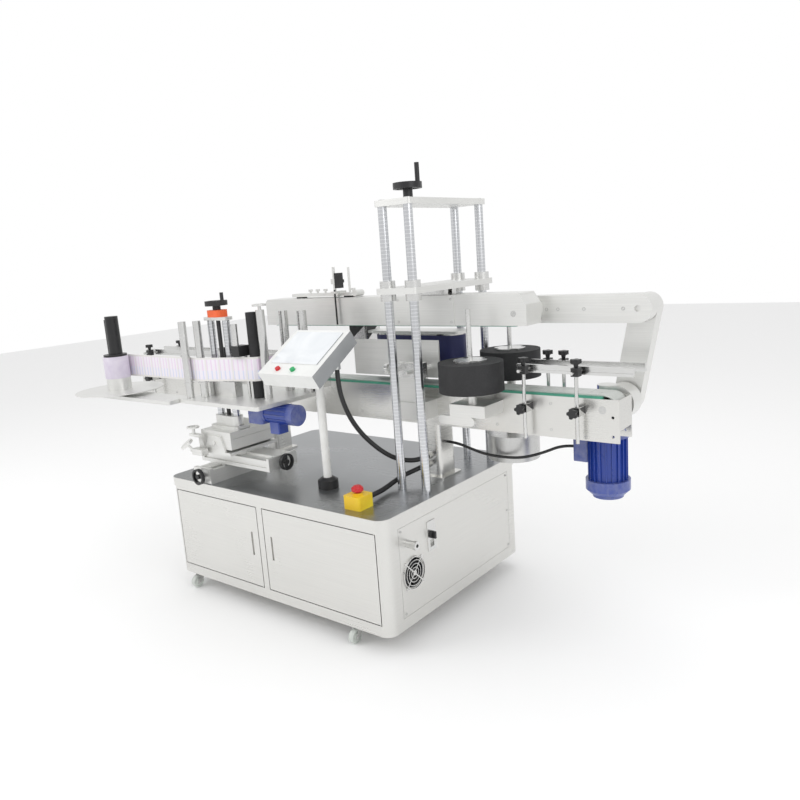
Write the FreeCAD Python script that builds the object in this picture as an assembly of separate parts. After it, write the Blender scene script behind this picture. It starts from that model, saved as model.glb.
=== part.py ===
import FreeCAD, Part

import math
import os

from FreeCAD import Rotation, Vector

# Bottle labelling machine.  Millimetres, +Z up, +X along the conveyor, +Y away from the operator.
# The origin is on the floor, under the middle of the whole machine.

# ---------------------------------------------------------------- driving dimensions
CAB_LEFT = -465.0            # cabinet and table, plan edges
CAB_RIGHT = 645.0
CAB_FRONT = -340.0
CAB_BACK = 500.0
CAB_CORNER_R = 42.0
CAB_BOTTOM = 65.0            # height of the cabinet floor, set by the casters
TABLE_TOP = 465.0
SHEET = 4.0                  # cabinet wall
LID_T = 4.0                  # table plate
LID_SKIRT = 34.0             # folded edge of the table plate
FIT = 0.3                    # seat or running gap between curved faces
SHAFT_FIT = 0.05             # radial clearance of a shaft in its hole

CONV_Y = 160.0               # centreline of the conveyor, beam and columns
CONV_W = 100.0
CONV_LEFT = -1277.0
CONV_RIGHT = 1225.0
CONV_BOTTOM = 665.0
CONV_PLATE_TOP = 800.0
CONV_PLATE_T = 6.0
CHAIN_TOP = 812.0
SLAT_W = 82.5
SLAT_T = 4.0
SLAT_PITCH = 38.1
CHAIN_R = 46.0               # outer radius of the chain on its sprocket
DRIVE_SHAFT_R = 12.5
SHAFT_INSET = 53.0           # from the conveyor end to its shaft

COLUMN_R = 15.0
COLUMN_X = (500.0, 605.0)
COLUMN_REACH = 210.0         # columns stand this far each side of the centreline
HEAD_PLATE_Z = 1427.0        # underside of the fixed top plate
PLATE_T = 20.0
CARRIAGE_Z = 1145.0          # underside of the sliding plate
COLLAR_R = 26.0
COLLAR_H = 23.0
SCREW_Y = 25.0
SCREW_R = 8.0

BEAM_LEFT = -290.0
BEAM_RIGHT = 925.0
BEAM_BOTTOM = 1021.0
BEAM_TOP = 1125.0
BEAM_WALL = 4.0
BELT_SHAFT_X = 878.0
BELT_SHAFT_Z = 1060.0
BELT_R = 42.0                # outer radius of the press belt on its pulley
BELT_T = 4.0
BELT_W = 84.0
ELBOW_X = 1232.0
ELBOW_Z = 1060.0
ARM_R = 45.0
ARM_T = 50.0
UPPER_ARM_Y = 245.0
LOWER_ARM_Y = 300.0
ELBOW_PLAY = 5.0             # the elbow pin floats this far in the lower arm

WHEEL_R = 107.0              # foam separator wheels
WHEEL_BOTTOM = 818.0
WHEEL_TOP = 915.0
NEAR_WHEEL = (758.0, 30.0)
FAR_WHEEL = (745.0, 310.0)
SPINDLE_R = 8.0
SPINDLE_TOP = 1084.0

CONSOLE_X = 240.0
CONSOLE_W = 264.0
CONSOLE_FRONT = (-312.0, 905.0)      # Y, Z of the lower edge of the sloping face
CONSOLE_REAR = (-111.0, 1030.0)
CONSOLE_T = 55.0
POST_Y = -152.0

HEAD_X = -205.0              # middle of the label head columns
HEAD_Y = -210.0
HEAD_COLUMN_R = 14.0
HEAD_COLUMN_REACH = 45.0
TILT_Z = 620.0
ARM_PLATE_Z = 772.0
ARM_PLATE_T = 15.0
LABEL_BOTTOM = 852.0
LABEL_H = 90.0
REEL_X = -757.0
REEL_Y = -325.0
REEL_R = 175.0
ROLL_R = 50.0
CORE_R = 38.0
ROLLER_R = 15.0
TRACTION_R = 22.0


# ---------------------------------------------------------------- plain shapes
def box(x0, x1, y0, y1, z0, z1):
    return Part.makeBox(x1 - x0, y1 - y0, z1 - z0, Vector(x0, y0, z0))


def rod_x(x0, x1, y, z, r):
    return Part.makeCylinder(r, x1 - x0, Vector(x0, y, z), Vector(1, 0, 0))


def rod_y(x, y0, y1, z, r):
    return Part.makeCylinder(r, y1 - y0, Vector(x, y0, z), Vector(0, 1, 0))


def rod_z(x, y, z0, z1, r):
    return Part.makeCylinder(r, z1 - z0, Vector(x, y, z0), Vector(0, 0, 1))


def tube_z(x, y, z0, z1, outer, inner):
    return rod_z(x, y, z0, z1, outer).cut(rod_z(x, y, z0 - 1, z1 + 1, inner))


def cone_z(x, y, z0, z1, r0, r1):
    return Part.makeCone(r0, r1, z1 - z0, Vector(x, y, z0), Vector(0, 0, 1))


def slab(x0, x1, y0, y1, z0, z1, r):
    """An upright block whose four vertical edges have the radius r."""
    body = box(x0, x1, y0, y1, z0, z1)
    upright = [e for e in body.Edges if abs(e.Vertexes[0].Z - e.Vertexes[1].Z) > (z1 - z0) / 2]
    return body.makeFillet(r, upright)


def prism(points, direction):
    """Extrude the closed outline through the points along the direction."""
    wire = Part.makePolygon(points + [points[0]])
    return Part.Face(wire).extrude(direction)


def link_xz(ax, az, bx, bz, r, y0, y1):
    """A flat link with round ends about the points a and b, between y0 and y1."""
    length = math.hypot(bx - ax, bz - az)
    side = Vector((bz - az) / length * r, 0, -(bx - ax) / length * r)
    a = Vector(ax, y0, az)
    b = Vector(bx, y0, bz)
    along = (b - a).multiply(r / length)
    edges = [
        Part.LineSegment(a + side, b + side).toShape(),
        Part.Arc(b + side, b + along, b - side).toShape(),
        Part.LineSegment(b - side, a - side).toShape(),
        Part.Arc(a - side, a - along, a + side).toShape(),
    ]
    return Part.Face(Part.Wire(edges)).extrude(Vector(0, y1 - y0, 0))


def loop_xz(ax, bx, z, r, y0, y1):
    """A level loop of radius r round the two shafts at a and b."""
    return link_xz(ax, z, bx, z, r, y0, y1)


def turned(shape, centre, axis, angle):
    shape.rotate(Vector(*centre), Vector(*axis), angle)
    return shape


def handwheel(rim_r, thickness, hub_r, hub_h, grip_h):
    """A handwheel on +Z: its hub stands on z = 0 and a grip rises from the rim."""
    hub = rod_z(0, 0, 0, hub_h + thickness, hub_r)
    rim = tube_z(0, 0, hub_h, hub_h + thickness, rim_r, rim_r * 0.78)
    spokes = box(-rim_r * 0.85, rim_r * 0.85, -hub_r * 0.6, hub_r * 0.6, hub_h, hub_h + thickness * 0.6)
    wheel = hub.fuse([rim, spokes])
    if grip_h > 0:
        wheel = wheel.fuse(rod_z(rim_r * 0.88, 0, hub_h, hub_h + thickness + grip_h, rim_r * 0.16))
    return wheel.removeSplitter()


def star_knob(r, height):
    """A five-lobed clamp knob on +Z, with its stem foot on z = 0."""
    head = rod_z(0, 0, height * 0.5, height, r)
    for i in range(5):
        angle = math.radians(72 * i)
        head = head.cut(rod_z(r * 1.15 * math.cos(angle), r * 1.15 * math.sin(angle), 0, height + 1, r * 0.42))
    return head.fuse(cone_z(0, 0, 0, height * 0.5, r * 0.34, r * 0.5))


def placed(shape, x, y, z, axis=(0, 0, 1)):
    """Put a shape made on +Z at a point, with its own +Z along the axis."""
    turn = Rotation(Vector(0, 0, 1), Vector(*axis))
    shape.Placement = FreeCAD.Placement(Vector(x, y, z), turn)
    return shape


def tube_route(points, r):
    """A round tube of straight runs and tangent arcs through the points."""
    path = [Vector(*p) for p in points]
    edges = []
    start = path[0]
    for before, corner, after in zip(path, path[1:], path[2:]):
        into = corner - before
        out = after - corner
        run = min(into.Length, out.Length)
        half = into.getAngle(out) / 2
        radius = 0.45 * run / math.tan(half)
        cut = 0.45 * run
        into.normalize()
        out.normalize()
        first = corner - into * cut
        last = corner + out * cut
        bisector = (out - into).normalize()
        middle = corner + bisector * (radius / math.cos(half) - radius)
        print("cable radius %.1f" % radius)
        if (first - start).Length > 1e-6:
            edges.append(Part.LineSegment(start, first).toShape())
        edges.append(Part.Arc(first, middle, last).toShape())
        start = last
    edges.append(Part.LineSegment(start, path[-1]).toShape())
    wire = Part.Wire(edges)
    ring = Part.Wire(Part.makeCircle(r, path[0], path[1] - path[0]))
    tube = wire.makePipeShell([ring], True, False)
    print("cable volume ratio %.4f" % (tube.Volume / (math.pi * r * r * wire.Length)))
    return tube


def strip(points, thickness, z0, z1):
    """A thin upright band along the plan points, its thickness on the left of the path."""
    line = [Vector(x, y, z0) for x, y in points]
    left = []
    for i, point in enumerate(line):
        into = (point - line[max(i - 1, 0)]) if i > 0 else (line[1] - point)
        out = (line[i + 1] - point) if i + 1 < len(line) else into
        into_side = Vector(-into.y, into.x, 0).normalize()
        out_side = Vector(-out.y, out.x, 0).normalize()
        side = (into_side + out_side).normalize()
        left.append(point + side * (thickness / side.dot(into_side)))
    return prism(line + left[::-1], Vector(0, 0, z1 - z0))


def save(name, *solids):
    shape = solids[0] if len(solids) == 1 else Part.makeCompound(list(solids))
    for solid in shape.Solids:
        if not solid.isValid():
            print("INVALID", name)
    shape.exportStep("parts/" + name + ".step")
    print(name, len(shape.Solids), round(shape.Volume / 1000, 1))


# ---------------------------------------------------------------- cabinet
DOOR_BOTTOM = 106.0
DOOR_TOP = 414.0
DOOR_T = 18.0
DOOR_GAP = 3.0
DOOR_MARGIN = 36.0
DOOR_SPLIT_X = 60.0
DOOR_MULLION = 34.0
HINGE_INSET = 6.0
HINGE_R = 3.0
HINGE_REACH = 8.0
JAMB = 8.0

CASTER_X = (-390.0, 470.0)
CASTER_FRONT_Y = -300.0
CASTER_BACK_Y = 460.0
CASTER_WHEEL_R = 25.0
CASTER_WHEEL_W = 20.0
CASTER_TRAIL = 22.0
CASTER_PLATE_T = 3.0
CASTER_PIN_R = 5.0
AXLE_R = 4.0

PANEL_Y0 = -262.0
PANEL_Y1 = 425.0
PANEL_Z0 = 106.0
PANEL_Z1 = 414.0
PANEL_T = 2.0
PANEL_LIP = 8.0
FAN_Y = -195.0
FAN_Z = 242.0
FAN_R = 50.0
FAN_DEPTH = 25.0
SWITCH_Y = -88.0
SWITCH_Z = 335.0
SWITCH_KNOB_Z = 338.0
INLET_Y = -220.0
INLET_Z = 352.0

BODY_LEFT = CAB_LEFT + LID_T
BODY_RIGHT = CAB_RIGHT - LID_T
BODY_FRONT = CAB_FRONT + LID_T
BODY_BACK = CAB_BACK - LID_T
DOOR_EDGES = (
    (BODY_LEFT + DOOR_MARGIN, DOOR_SPLIT_X - DOOR_MULLION / 2),
    (DOOR_SPLIT_X + DOOR_MULLION / 2, BODY_RIGHT - DOOR_MARGIN),
)


def hinge_x(index):
    left, right = DOOR_EDGES[index]
    return left + HINGE_INSET if index == 0 else right - HINGE_INSET


def side_panel():
    panel = box(BODY_RIGHT - PANEL_T, BODY_RIGHT, PANEL_Y0, PANEL_Y1, PANEL_Z0, PANEL_Z1)
    panel = panel.cut(rod_x(BODY_RIGHT - 5, BODY_RIGHT + 1, FAN_Y, FAN_Z, FAN_R + 1))
    panel = panel.cut(rod_x(BODY_RIGHT - 5, BODY_RIGHT + 1, INLET_Y, INLET_Z, 11))
    panel = panel.cut(box(BODY_RIGHT - 5, BODY_RIGHT + 1, SWITCH_Y - 17, SWITCH_Y + 17, SWITCH_Z - 44, SWITCH_Z + 44))
    return panel


def cabinet():
    inner_r = CAB_CORNER_R - LID_T - SHEET
    outer = slab(BODY_LEFT, BODY_RIGHT, BODY_FRONT, BODY_BACK, CAB_BOTTOM, TABLE_TOP - LID_T, CAB_CORNER_R - LID_T)
    hollow = slab(BODY_LEFT + SHEET, BODY_RIGHT - SHEET, BODY_FRONT + SHEET, BODY_BACK - SHEET,
                  CAB_BOTTOM + SHEET, TABLE_TOP, inner_r)
    shell = outer.cut(hollow)
    for left, right in DOOR_EDGES:
        frame = box(left - DOOR_GAP - JAMB, right + DOOR_GAP + JAMB, BODY_FRONT + SHEET / 2, BODY_FRONT + DOOR_T + 2,
                    DOOR_BOTTOM - DOOR_GAP - JAMB, DOOR_TOP + DOOR_GAP + JAMB)
        shell = shell.fuse(frame)
    for index, (left, right) in enumerate(DOOR_EDGES):
        opening = box(left - DOOR_GAP, right + DOOR_GAP, BODY_FRONT - 1, BODY_FRONT + DOOR_T + 3,
                      DOOR_BOTTOM - DOOR_GAP, DOOR_TOP + DOOR_GAP)
        pin_hole = rod_z(hinge_x(index), BODY_FRONT + HINGE_INSET, DOOR_BOTTOM - DOOR_GAP - JAMB + 1,
                         DOOR_TOP + DOOR_GAP + JAMB - 1, HINGE_R + SHAFT_FIT)
        shell = shell.cut(opening).cut(pin_hole)
    seat = box(BODY_RIGHT - PANEL_T, BODY_RIGHT + 1, PANEL_Y0 - 1, PANEL_Y1 + 1, PANEL_Z0 - 1, PANEL_Z1 + 1)
    window = box(BODY_RIGHT - SHEET - 1, BODY_RIGHT + 1, PANEL_Y0 + PANEL_LIP, PANEL_Y1 - PANEL_LIP,
                 PANEL_Z0 + PANEL_LIP, PANEL_Z1 - PANEL_LIP)
    save("cabinet_shell", shell.cut(seat).cut(window), side_panel())


def table():
    lid = slab(CAB_LEFT, CAB_RIGHT, CAB_FRONT, CAB_BACK, TABLE_TOP - LID_SKIRT, TABLE_TOP, CAB_CORNER_R)
    under = slab(BODY_LEFT - FIT / 3, BODY_RIGHT + FIT / 3, BODY_FRONT - FIT / 3, BODY_BACK + FIT / 3,
                 TABLE_TOP - LID_SKIRT - 1, TABLE_TOP - LID_T, CAB_CORNER_R - LID_T)
    save("table_top", lid.cut(under))


def doors():
    for index, name in enumerate(("door_left", "door_right")):
        left, right = DOOR_EDGES[index]
        leaf = box(left, right, BODY_FRONT, BODY_FRONT + DOOR_T, DOOR_BOTTOM, DOOR_TOP)
        pull_x = right - 42 if index == 0 else left + 30
        leaf = leaf.cut(slab(pull_x, pull_x + 12, BODY_FRONT - 1, BODY_FRONT + 9, 225, 315, 4))
        pin = rod_z(hinge_x(index), BODY_FRONT + HINGE_INSET, DOOR_BOTTOM - HINGE_REACH, DOOR_TOP + HINGE_REACH, HINGE_R)
        save(name, leaf.fuse(pin))


def ring_x(x0, x1, y, z, outer, inner):
    return rod_x(x0, x1, y, z, outer).cut(rod_x(x0 - 1, x1 + 1, y, z, inner))


def panel_fittings():
    inside = BODY_RIGHT - PANEL_T
    half = FAN_R + 8
    frame = box(inside - FAN_DEPTH, inside, FAN_Y - half, FAN_Y + half, FAN_Z - half, FAN_Z + half)
    frame = frame.cut(rod_x(inside - FAN_DEPTH - 1, inside + 1, FAN_Y, FAN_Z, FAN_R))
    boss = rod_x(inside - FAN_DEPTH, inside - FAN_DEPTH + 4, FAN_Y, FAN_Z, 17)
    struts = [box(inside - FAN_DEPTH, inside - FAN_DEPTH + 4, FAN_Y - 3, FAN_Y + 3, FAN_Z - half + 2, FAN_Z + half - 2)]
    struts.append(turned(struts[0].copy(), (0, FAN_Y, FAN_Z), (1, 0, 0), 90))
    pin = rod_x(inside - FAN_DEPTH, inside - 5, FAN_Y, FAN_Z, 3)
    frame = frame.fuse(struts + [boss, pin])
    rings = [ring_x(BODY_RIGHT + 2, BODY_RIGHT + 5, FAN_Y, FAN_Z, r, r - 2.5) for r in (20, 32, 44, 56)]
    cap = rod_x(BODY_RIGHT + 2, BODY_RIGHT + 5, FAN_Y, FAN_Z, 9)
    guard = cap.fuse(rings)
    for i in range(4):
        arm = box(BODY_RIGHT, BODY_RIGHT + 3, FAN_Y - 2, FAN_Y + 2, FAN_Z, FAN_Z + 60)
        arm = arm.cut(box(BODY_RIGHT - 1, BODY_RIGHT + 2, FAN_Y - 3, FAN_Y + 3, FAN_Z - 1, FAN_Z + 54))
        lug = rod_x(BODY_RIGHT, BODY_RIGHT + 4, FAN_Y, FAN_Z + 61, 5)
        guard = guard.fuse(turned(arm.fuse(lug), (0, FAN_Y, FAN_Z), (1, 0, 0), 45 + 90 * i))
    plate = box(BODY_RIGHT, BODY_RIGHT + 3, SWITCH_Y - 23, SWITCH_Y + 23, SWITCH_Z - 52, SWITCH_Z + 52)
    plate = plate.fuse(box(inside - 30, BODY_RIGHT + 1, SWITCH_Y - 15, SWITCH_Y + 15, SWITCH_Z - 42, SWITCH_Z + 42))
    plate = plate.cut(box(BODY_RIGHT - 8, BODY_RIGHT + 4, SWITCH_Y - 11, SWITCH_Y + 11, SWITCH_Z - 40, SWITCH_Z - 14))
    plate = plate.cut(rod_x(BODY_RIGHT - 20, BODY_RIGHT + 4, SWITCH_Y, SWITCH_KNOB_Z, 4 + SHAFT_FIT))
    gland = ring_x(BODY_RIGHT, BODY_RIGHT + 30, INLET_Y, INLET_Z, 13, 8)
    gland = gland.fuse(ring_x(BODY_RIGHT - 15, BODY_RIGHT, INLET_Y, INLET_Z, 10.7, 8))
    plug = ring_x(BODY_RIGHT + 30, BODY_RIGHT + 42, INLET_Y, INLET_Z, 15, 6)
    save("panel_fittings", frame, guard.removeSplitter(), plate, gland, plug)
    rotor = ring_x(inside - 20, inside - 6, FAN_Y, FAN_Z, 16, 3 + SHAFT_FIT)
    for i in range(7):
        blade = box(inside - 14, inside - 12, FAN_Y - 8, FAN_Y + 8, FAN_Z + 14, FAN_Z + FAN_R - 2)
        blade = turned(blade, (inside - 13, FAN_Y, FAN_Z), (0, 0, 1), 30)
        rotor = rotor.fuse(turned(blade, (0, FAN_Y, FAN_Z), (1, 0, 0), 360.0 / 7 * i))
    save("fan_rotor", rotor)
    knob = rod_x(BODY_RIGHT - 18, BODY_RIGHT + 3 + FIT, SWITCH_Y, SWITCH_KNOB_Z, 4)
    knob = knob.fuse(rod_x(BODY_RIGHT + 3 + FIT, BODY_RIGHT + 10, SWITCH_Y, SWITCH_KNOB_Z, 13))
    knob = knob.fuse(box(BODY_RIGHT + 10, BODY_RIGHT + 20, SWITCH_Y - 4, SWITCH_Y + 4, SWITCH_KNOB_Z - 12, SWITCH_KNOB_Z + 12))
    save("power_switch", knob)


def fork(x, y, head_top, way):
    """A caster fork whose wheel trails by CASTER_TRAIL along Y, way = -1 or 1."""
    inner = CASTER_WHEEL_W / 2 + FIT
    axle_y = y + way * CASTER_TRAIL
    head = box(x - 18, x + 18, y - 16, y + 16, head_top - 5, head_top)
    legs = []
    for side in (-1, 1):
        x0 = x + side * inner if side > 0 else x - inner - 3
        outline = [Vector(x0, y - 14, head_top - 4), Vector(x0, y + 14, head_top - 4),
                   Vector(x0, axle_y + 9, CASTER_WHEEL_R - 8), Vector(x0, axle_y - 9, CASTER_WHEEL_R - 8)]
        legs.append(prism(outline, Vector(3, 0, 0)))
    axle = rod_x(x - inner - 5, x + inner + 5, axle_y, CASTER_WHEEL_R, AXLE_R)
    return head.fuse(legs + [axle]).removeSplitter()


def casters():
    plate_top = CAB_BOTTOM
    plate_bottom = CAB_BOTTOM - CASTER_PLATE_T
    mounts = []
    for x in CASTER_X:
        plate = box(x - 25, x + 25, CASTER_FRONT_Y - 25, CASTER_FRONT_Y + 25, plate_bottom, plate_top)
        pin = rod_z(x, CASTER_FRONT_Y, plate_bottom - 8, plate_bottom, CASTER_PIN_R)
        nut = rod_z(x, CASTER_FRONT_Y, plate_bottom - 9, plate_bottom - 5 - 2 * FIT, CASTER_PIN_R + 3)
        mounts.append(plate.fuse([pin, nut]))
        plate = box(x - 25, x + 25, CASTER_BACK_Y - 25, CASTER_BACK_Y + 25, plate_bottom, plate_top)
        mounts.append(plate.fuse(fork(x, CASTER_BACK_Y, plate_bottom, -1)).removeSplitter())
    save("caster_mounts", *mounts)
    for x, side in zip(CASTER_X, ("left", "right")):
        body = fork(x, CASTER_FRONT_Y, plate_bottom - FIT, -1)
        body = body.cut(rod_z(x, CASTER_FRONT_Y, plate_bottom - 12, plate_bottom, CASTER_PIN_R + SHAFT_FIT))
        body = body.cut(rod_z(x, CASTER_FRONT_Y, plate_bottom - 12, plate_bottom - 5 - FIT, CASTER_PIN_R + 4))
        save("caster_fork_" + side, body)
        for y, end in ((CASTER_FRONT_Y, "front"), (CASTER_BACK_Y, "rear")):
            save("caster_wheel_" + end + "_" + side, caster_wheel(x, y - CASTER_TRAIL))


def caster_wheel(x, y):
    half = CASTER_WHEEL_W / 2
    bore = AXLE_R + SHAFT_FIT
    outline = [(bore, -half), (9, -half), (9, -half + 3), (20, -half + 3), (20, -half), (CASTER_WHEEL_R - 3, -half),
               (CASTER_WHEEL_R, -half + 3), (CASTER_WHEEL_R, half - 3), (CASTER_WHEEL_R - 3, half), (20, half),
               (20, half - 3), (9, half - 3), (9, half), (bore, half)]
    points = [Vector(x + across, y, CASTER_WHEEL_R + r) for r, across in outline]
    face = Part.Face(Part.makePolygon(points + [points[0]]))
    return face.revolve(Vector(x, y, CASTER_WHEEL_R), Vector(1, 0, 0), 360)


# ---------------------------------------------------------------- conveyor
NEAR_SIDE = CONV_Y - CONV_W / 2
FAR_SIDE = CONV_Y + CONV_W / 2
SHAFT_Z = CHAIN_TOP - CHAIN_R
DRIVE_X = CONV_RIGHT - SHAFT_INSET
TAIL_X = CONV_LEFT + SHAFT_INSET
JOIN_HOLE_R = 4.5
JOIN_INSET = 20.0
JOIN_PITCH = 60.0
LEG_X = (-350.0, 522.0)
LEG_W = 66.0
LEG_GLANDS = ((505.0, 546.0), (501.0, 514.0))   # X, Z of the cable glands on the near face of the right leg
LEG_GLAND_T = 12.0
LEG_GLAND_R = 13.0
STRIP_T = 7.7


def conveyor():
    plates = []
    for y0 in (NEAR_SIDE, FAR_SIDE - CONV_PLATE_T):
        plate = box(CONV_LEFT, CONV_RIGHT, y0, y0 + CONV_PLATE_T, CONV_BOTTOM, CONV_PLATE_TOP)
        for x in (DRIVE_X, TAIL_X):
            plate = plate.cut(rod_y(x, y0 - 1, y0 + CONV_PLATE_T + 1, SHAFT_Z, DRIVE_SHAFT_R + SHAFT_FIT))
        for x in (CONV_LEFT + JOIN_INSET, CONV_RIGHT - JOIN_INSET):
            for z in (CONV_BOTTOM + JOIN_INSET, CONV_BOTTOM + JOIN_INSET + JOIN_PITCH):
                plate = plate.cut(rod_y(x, y0 - 1, y0 + CONV_PLATE_T + 1, z, JOIN_HOLE_R))
        plates.append(plate)
    inner0 = NEAR_SIDE + CONV_PLATE_T
    inner1 = FAR_SIDE - CONV_PLATE_T
    ties = [rod_y(x, inner0, inner1, CHAIN_TOP - 2 * CHAIN_R - 8 - FIT, 8) for x in range(-1100, 1200, 440)]
    ends = [box(x0, x0 + 3, inner0, inner1, CONV_BOTTOM + 40, CONV_PLATE_TOP) for x0 in (CONV_LEFT, CONV_RIGHT - 3)]
    strips = []
    slat0 = CONV_Y - SLAT_W / 2
    for y0, y1 in ((NEAR_SIDE, slat0 + 7), (CONV_Y + SLAT_W / 2 - 7, FAR_SIDE)):
        strips.append(box(TAIL_X, DRIVE_X, y0, y1, CONV_PLATE_TOP, CONV_PLATE_TOP + STRIP_T))
    legs = []
    for x in LEG_X:
        column = slab(x - LEG_W / 2, x + LEG_W / 2, NEAR_SIDE, FAR_SIDE, TABLE_TOP, CONV_BOTTOM, 18)
        foot = slab(x - LEG_W / 2 - 16, x + LEG_W / 2 + 16, NEAR_SIDE - 12, FAR_SIDE + 12, TABLE_TOP, TABLE_TOP + 6, 10)
        legs.append(column.fuse(foot))
    glands = [rod_y(x, NEAR_SIDE - LEG_GLAND_T, NEAR_SIDE + 1, z, LEG_GLAND_R) for x, z in LEG_GLANDS]
    legs[-1] = legs[-1].fuse(glands)
    save("conveyor_frame", *(plates + ties + ends + strips + legs))


def chain():
    """A slat-top chain: a closed run of slats parted by V grooves at the slat pitch."""
    outer = CHAIN_R
    depth = 1.6
    half_gap = 1.2
    points = []
    count = int((DRIVE_X - TAIL_X) / SLAT_PITCH)
    first = TAIL_X + (DRIVE_X - TAIL_X - count * SLAT_PITCH) / 2
    for side in (1, -1):
        stations = [first + i * SLAT_PITCH for i in range(count + 1)]
        if side < 0:
            stations.reverse()
        for x in stations:
            for dx, dz in ((-half_gap * side, 0), (0, -depth), (half_gap * side, 0)):
                points.append(Vector(x + dx, 0, SHAFT_Z + side * (outer + dz)))
        turn_x = DRIVE_X if side > 0 else TAIL_X
        for i in range(0, 13):
            angle = math.radians(90 - 15 * i)
            points.append(Vector(turn_x + side * outer * math.cos(angle), 0, SHAFT_Z + side * outer * math.sin(angle)))
    y0 = CONV_Y - SLAT_W / 2
    points = [p + Vector(0, y0, 0) for p in points]
    body = prism(points, Vector(0, SLAT_W, 0))
    hollow = loop_xz(TAIL_X, DRIVE_X, SHAFT_Z, CHAIN_R - SLAT_T, y0 - 1, y0 + SLAT_W + 1)
    save("conveyor_chain", body.cut(hollow))


def sprocket(x, shaft_y1):
    r = CHAIN_R - SLAT_T - FIT - 0.5
    wheels = []
    for y in (CONV_Y - 22, CONV_Y + 10):
        disc = rod_y(x, y, y + 12, SHAFT_Z, r)
        for i in range(9):
            angle = math.radians(40 * i)
            notch = rod_y(x + (r + 1) * math.cos(angle), y - 1, y + 13, SHAFT_Z + (r + 1) * math.sin(angle), 5)
            disc = disc.cut(notch)
        wheels.append(disc)
    shaft = rod_y(x, NEAR_SIDE, shaft_y1, SHAFT_Z, DRIVE_SHAFT_R)
    hub = rod_y(x, CONV_Y - 22, CONV_Y + 22, SHAFT_Z, DRIVE_SHAFT_R + 8)
    return shaft.fuse(wheels + [hub]).removeSplitter()


GEARBOX_T = 84.0
MOTOR_X = DRIVE_X - 46.0
MOTOR_Y = FAR_SIDE + 2 + GEARBOX_T / 2
MOTOR_R = 64.0
MOTOR_TOP = 660.0
MOTOR_BOTTOM = 505.0


def drive():
    save("sprocket_drive", sprocket(DRIVE_X, LOWER_ARM_Y + ARM_T - 2))
    save("sprocket_tail", sprocket(TAIL_X, FAR_SIDE))
    y0 = FAR_SIDE + 2
    y1 = y0 + GEARBOX_T
    case = rod_y(DRIVE_X, y0 + 8, y1 - 8, SHAFT_Z, 56)
    worm = rod_z(MOTOR_X, MOTOR_Y, MOTOR_TOP, SHAFT_Z + 52, 30)
    faces = rod_y(DRIVE_X, y0, y1, SHAFT_Z, 38)
    foot = box(MOTOR_X - 45, MOTOR_X + 45, MOTOR_Y - 34, MOTOR_Y + 34, MOTOR_TOP, MOTOR_TOP + 14)
    spacer = rod_y(DRIVE_X, FAR_SIDE, y0, SHAFT_Z, 30)
    gearbox = case.fuse([worm, faces, foot, spacer])
    gearbox = gearbox.cut(rod_y(DRIVE_X, FAR_SIDE - 1, y1 + 1, SHAFT_Z, DRIVE_SHAFT_R + SHAFT_FIT))
    flange = rod_z(MOTOR_X, MOTOR_Y, MOTOR_TOP - 12, MOTOR_TOP, 70)
    body = rod_z(MOTOR_X, MOTOR_Y, MOTOR_BOTTOM, MOTOR_TOP - 12, MOTOR_R - 7)
    fins = []
    for i in range(20):
        fin = box(MOTOR_X - 1.2, MOTOR_X + 1.2, MOTOR_Y + MOTOR_R - 10, MOTOR_Y + MOTOR_R, MOTOR_BOTTOM, MOTOR_TOP - 12)
        fins.append(turned(fin, (MOTOR_X, MOTOR_Y, 0), (0, 0, 1), 18 * i))
    stator = body.fuse(fins + [flange])
    cowl = cone_z(MOTOR_X, MOTOR_Y, MOTOR_BOTTOM - 48, MOTOR_BOTTOM - 34, 58, 72)
    cowl = cowl.fuse(rod_z(MOTOR_X, MOTOR_Y, MOTOR_BOTTOM - 34, MOTOR_BOTTOM, 72))
    cap = rod_z(MOTOR_X, MOTOR_Y, MOTOR_BOTTOM - 60, MOTOR_BOTTOM - 48, 50)
    terminal = slab(MOTOR_X - MOTOR_R - 42, MOTOR_X - MOTOR_R + 12, MOTOR_Y - 36, MOTOR_Y + 36, 560, 640, 8)
    terminal = terminal.cut(stator)
    save("drive_motor", gearbox, stator, cowl, cap, terminal)


# ---------------------------------------------------------------- guide rails
RAIL_STATIONS = {-1: (-1135.0, -560.0, 924.0, 1104.0), 1: (-1117.0, -560.0, 928.0, 985.0)}
RAIL_RUNS = ((-1200.0, -60.0), (885.0, 1270.0))
RAIL_REACH = 43.0            # from the centreline to the inner face of a rail
RAIL_T = 12.0
RAIL_BOTTOM = 873.0
RAIL_TOP = 899.0
RAIL_ROD_R = 5.0
RAIL_ROD_Z = 886.0
POST_ROD_R = 6.0
POST_REACH = 81.0            # from the centreline to the clamp posts


def rails():
    clamps = []
    for side, name in ((-1, "guide_rail_near"), (1, "guide_rail_far")):
        pieces = []
        for x0, x1 in RAIL_RUNS:
            y = CONV_Y + side * RAIL_REACH
            bar = box(x0, x1, min(y, y + side * RAIL_T), max(y, y + side * RAIL_T), RAIL_BOTTOM, RAIL_TOP)
            back = y + side * RAIL_T
            groove = box(x0 - 1, x1 + 1, min(back, back - side * 3), max(back, back - side * 3), RAIL_ROD_Z - 4, RAIL_ROD_Z + 4)
            pieces.append(bar.cut(groove))
        for x in RAIL_STATIONS[side]:
            inner = CONV_Y + side * (RAIL_REACH + RAIL_T - 3)
            outer = CONV_Y + side * (POST_REACH + 34)
            rod = rod_y(x, min(inner, outer), max(inner, outer), RAIL_ROD_Z, RAIL_ROD_R)
            run = 0 if x < RAIL_RUNS[0][1] else 1
            pieces[run] = pieces[run].fuse(rod)
        save(name, *pieces)
        for x in RAIL_STATIONS[side]:
            clamps += rail_clamp(x, side)
    save("rail_clamps", *clamps)


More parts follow.
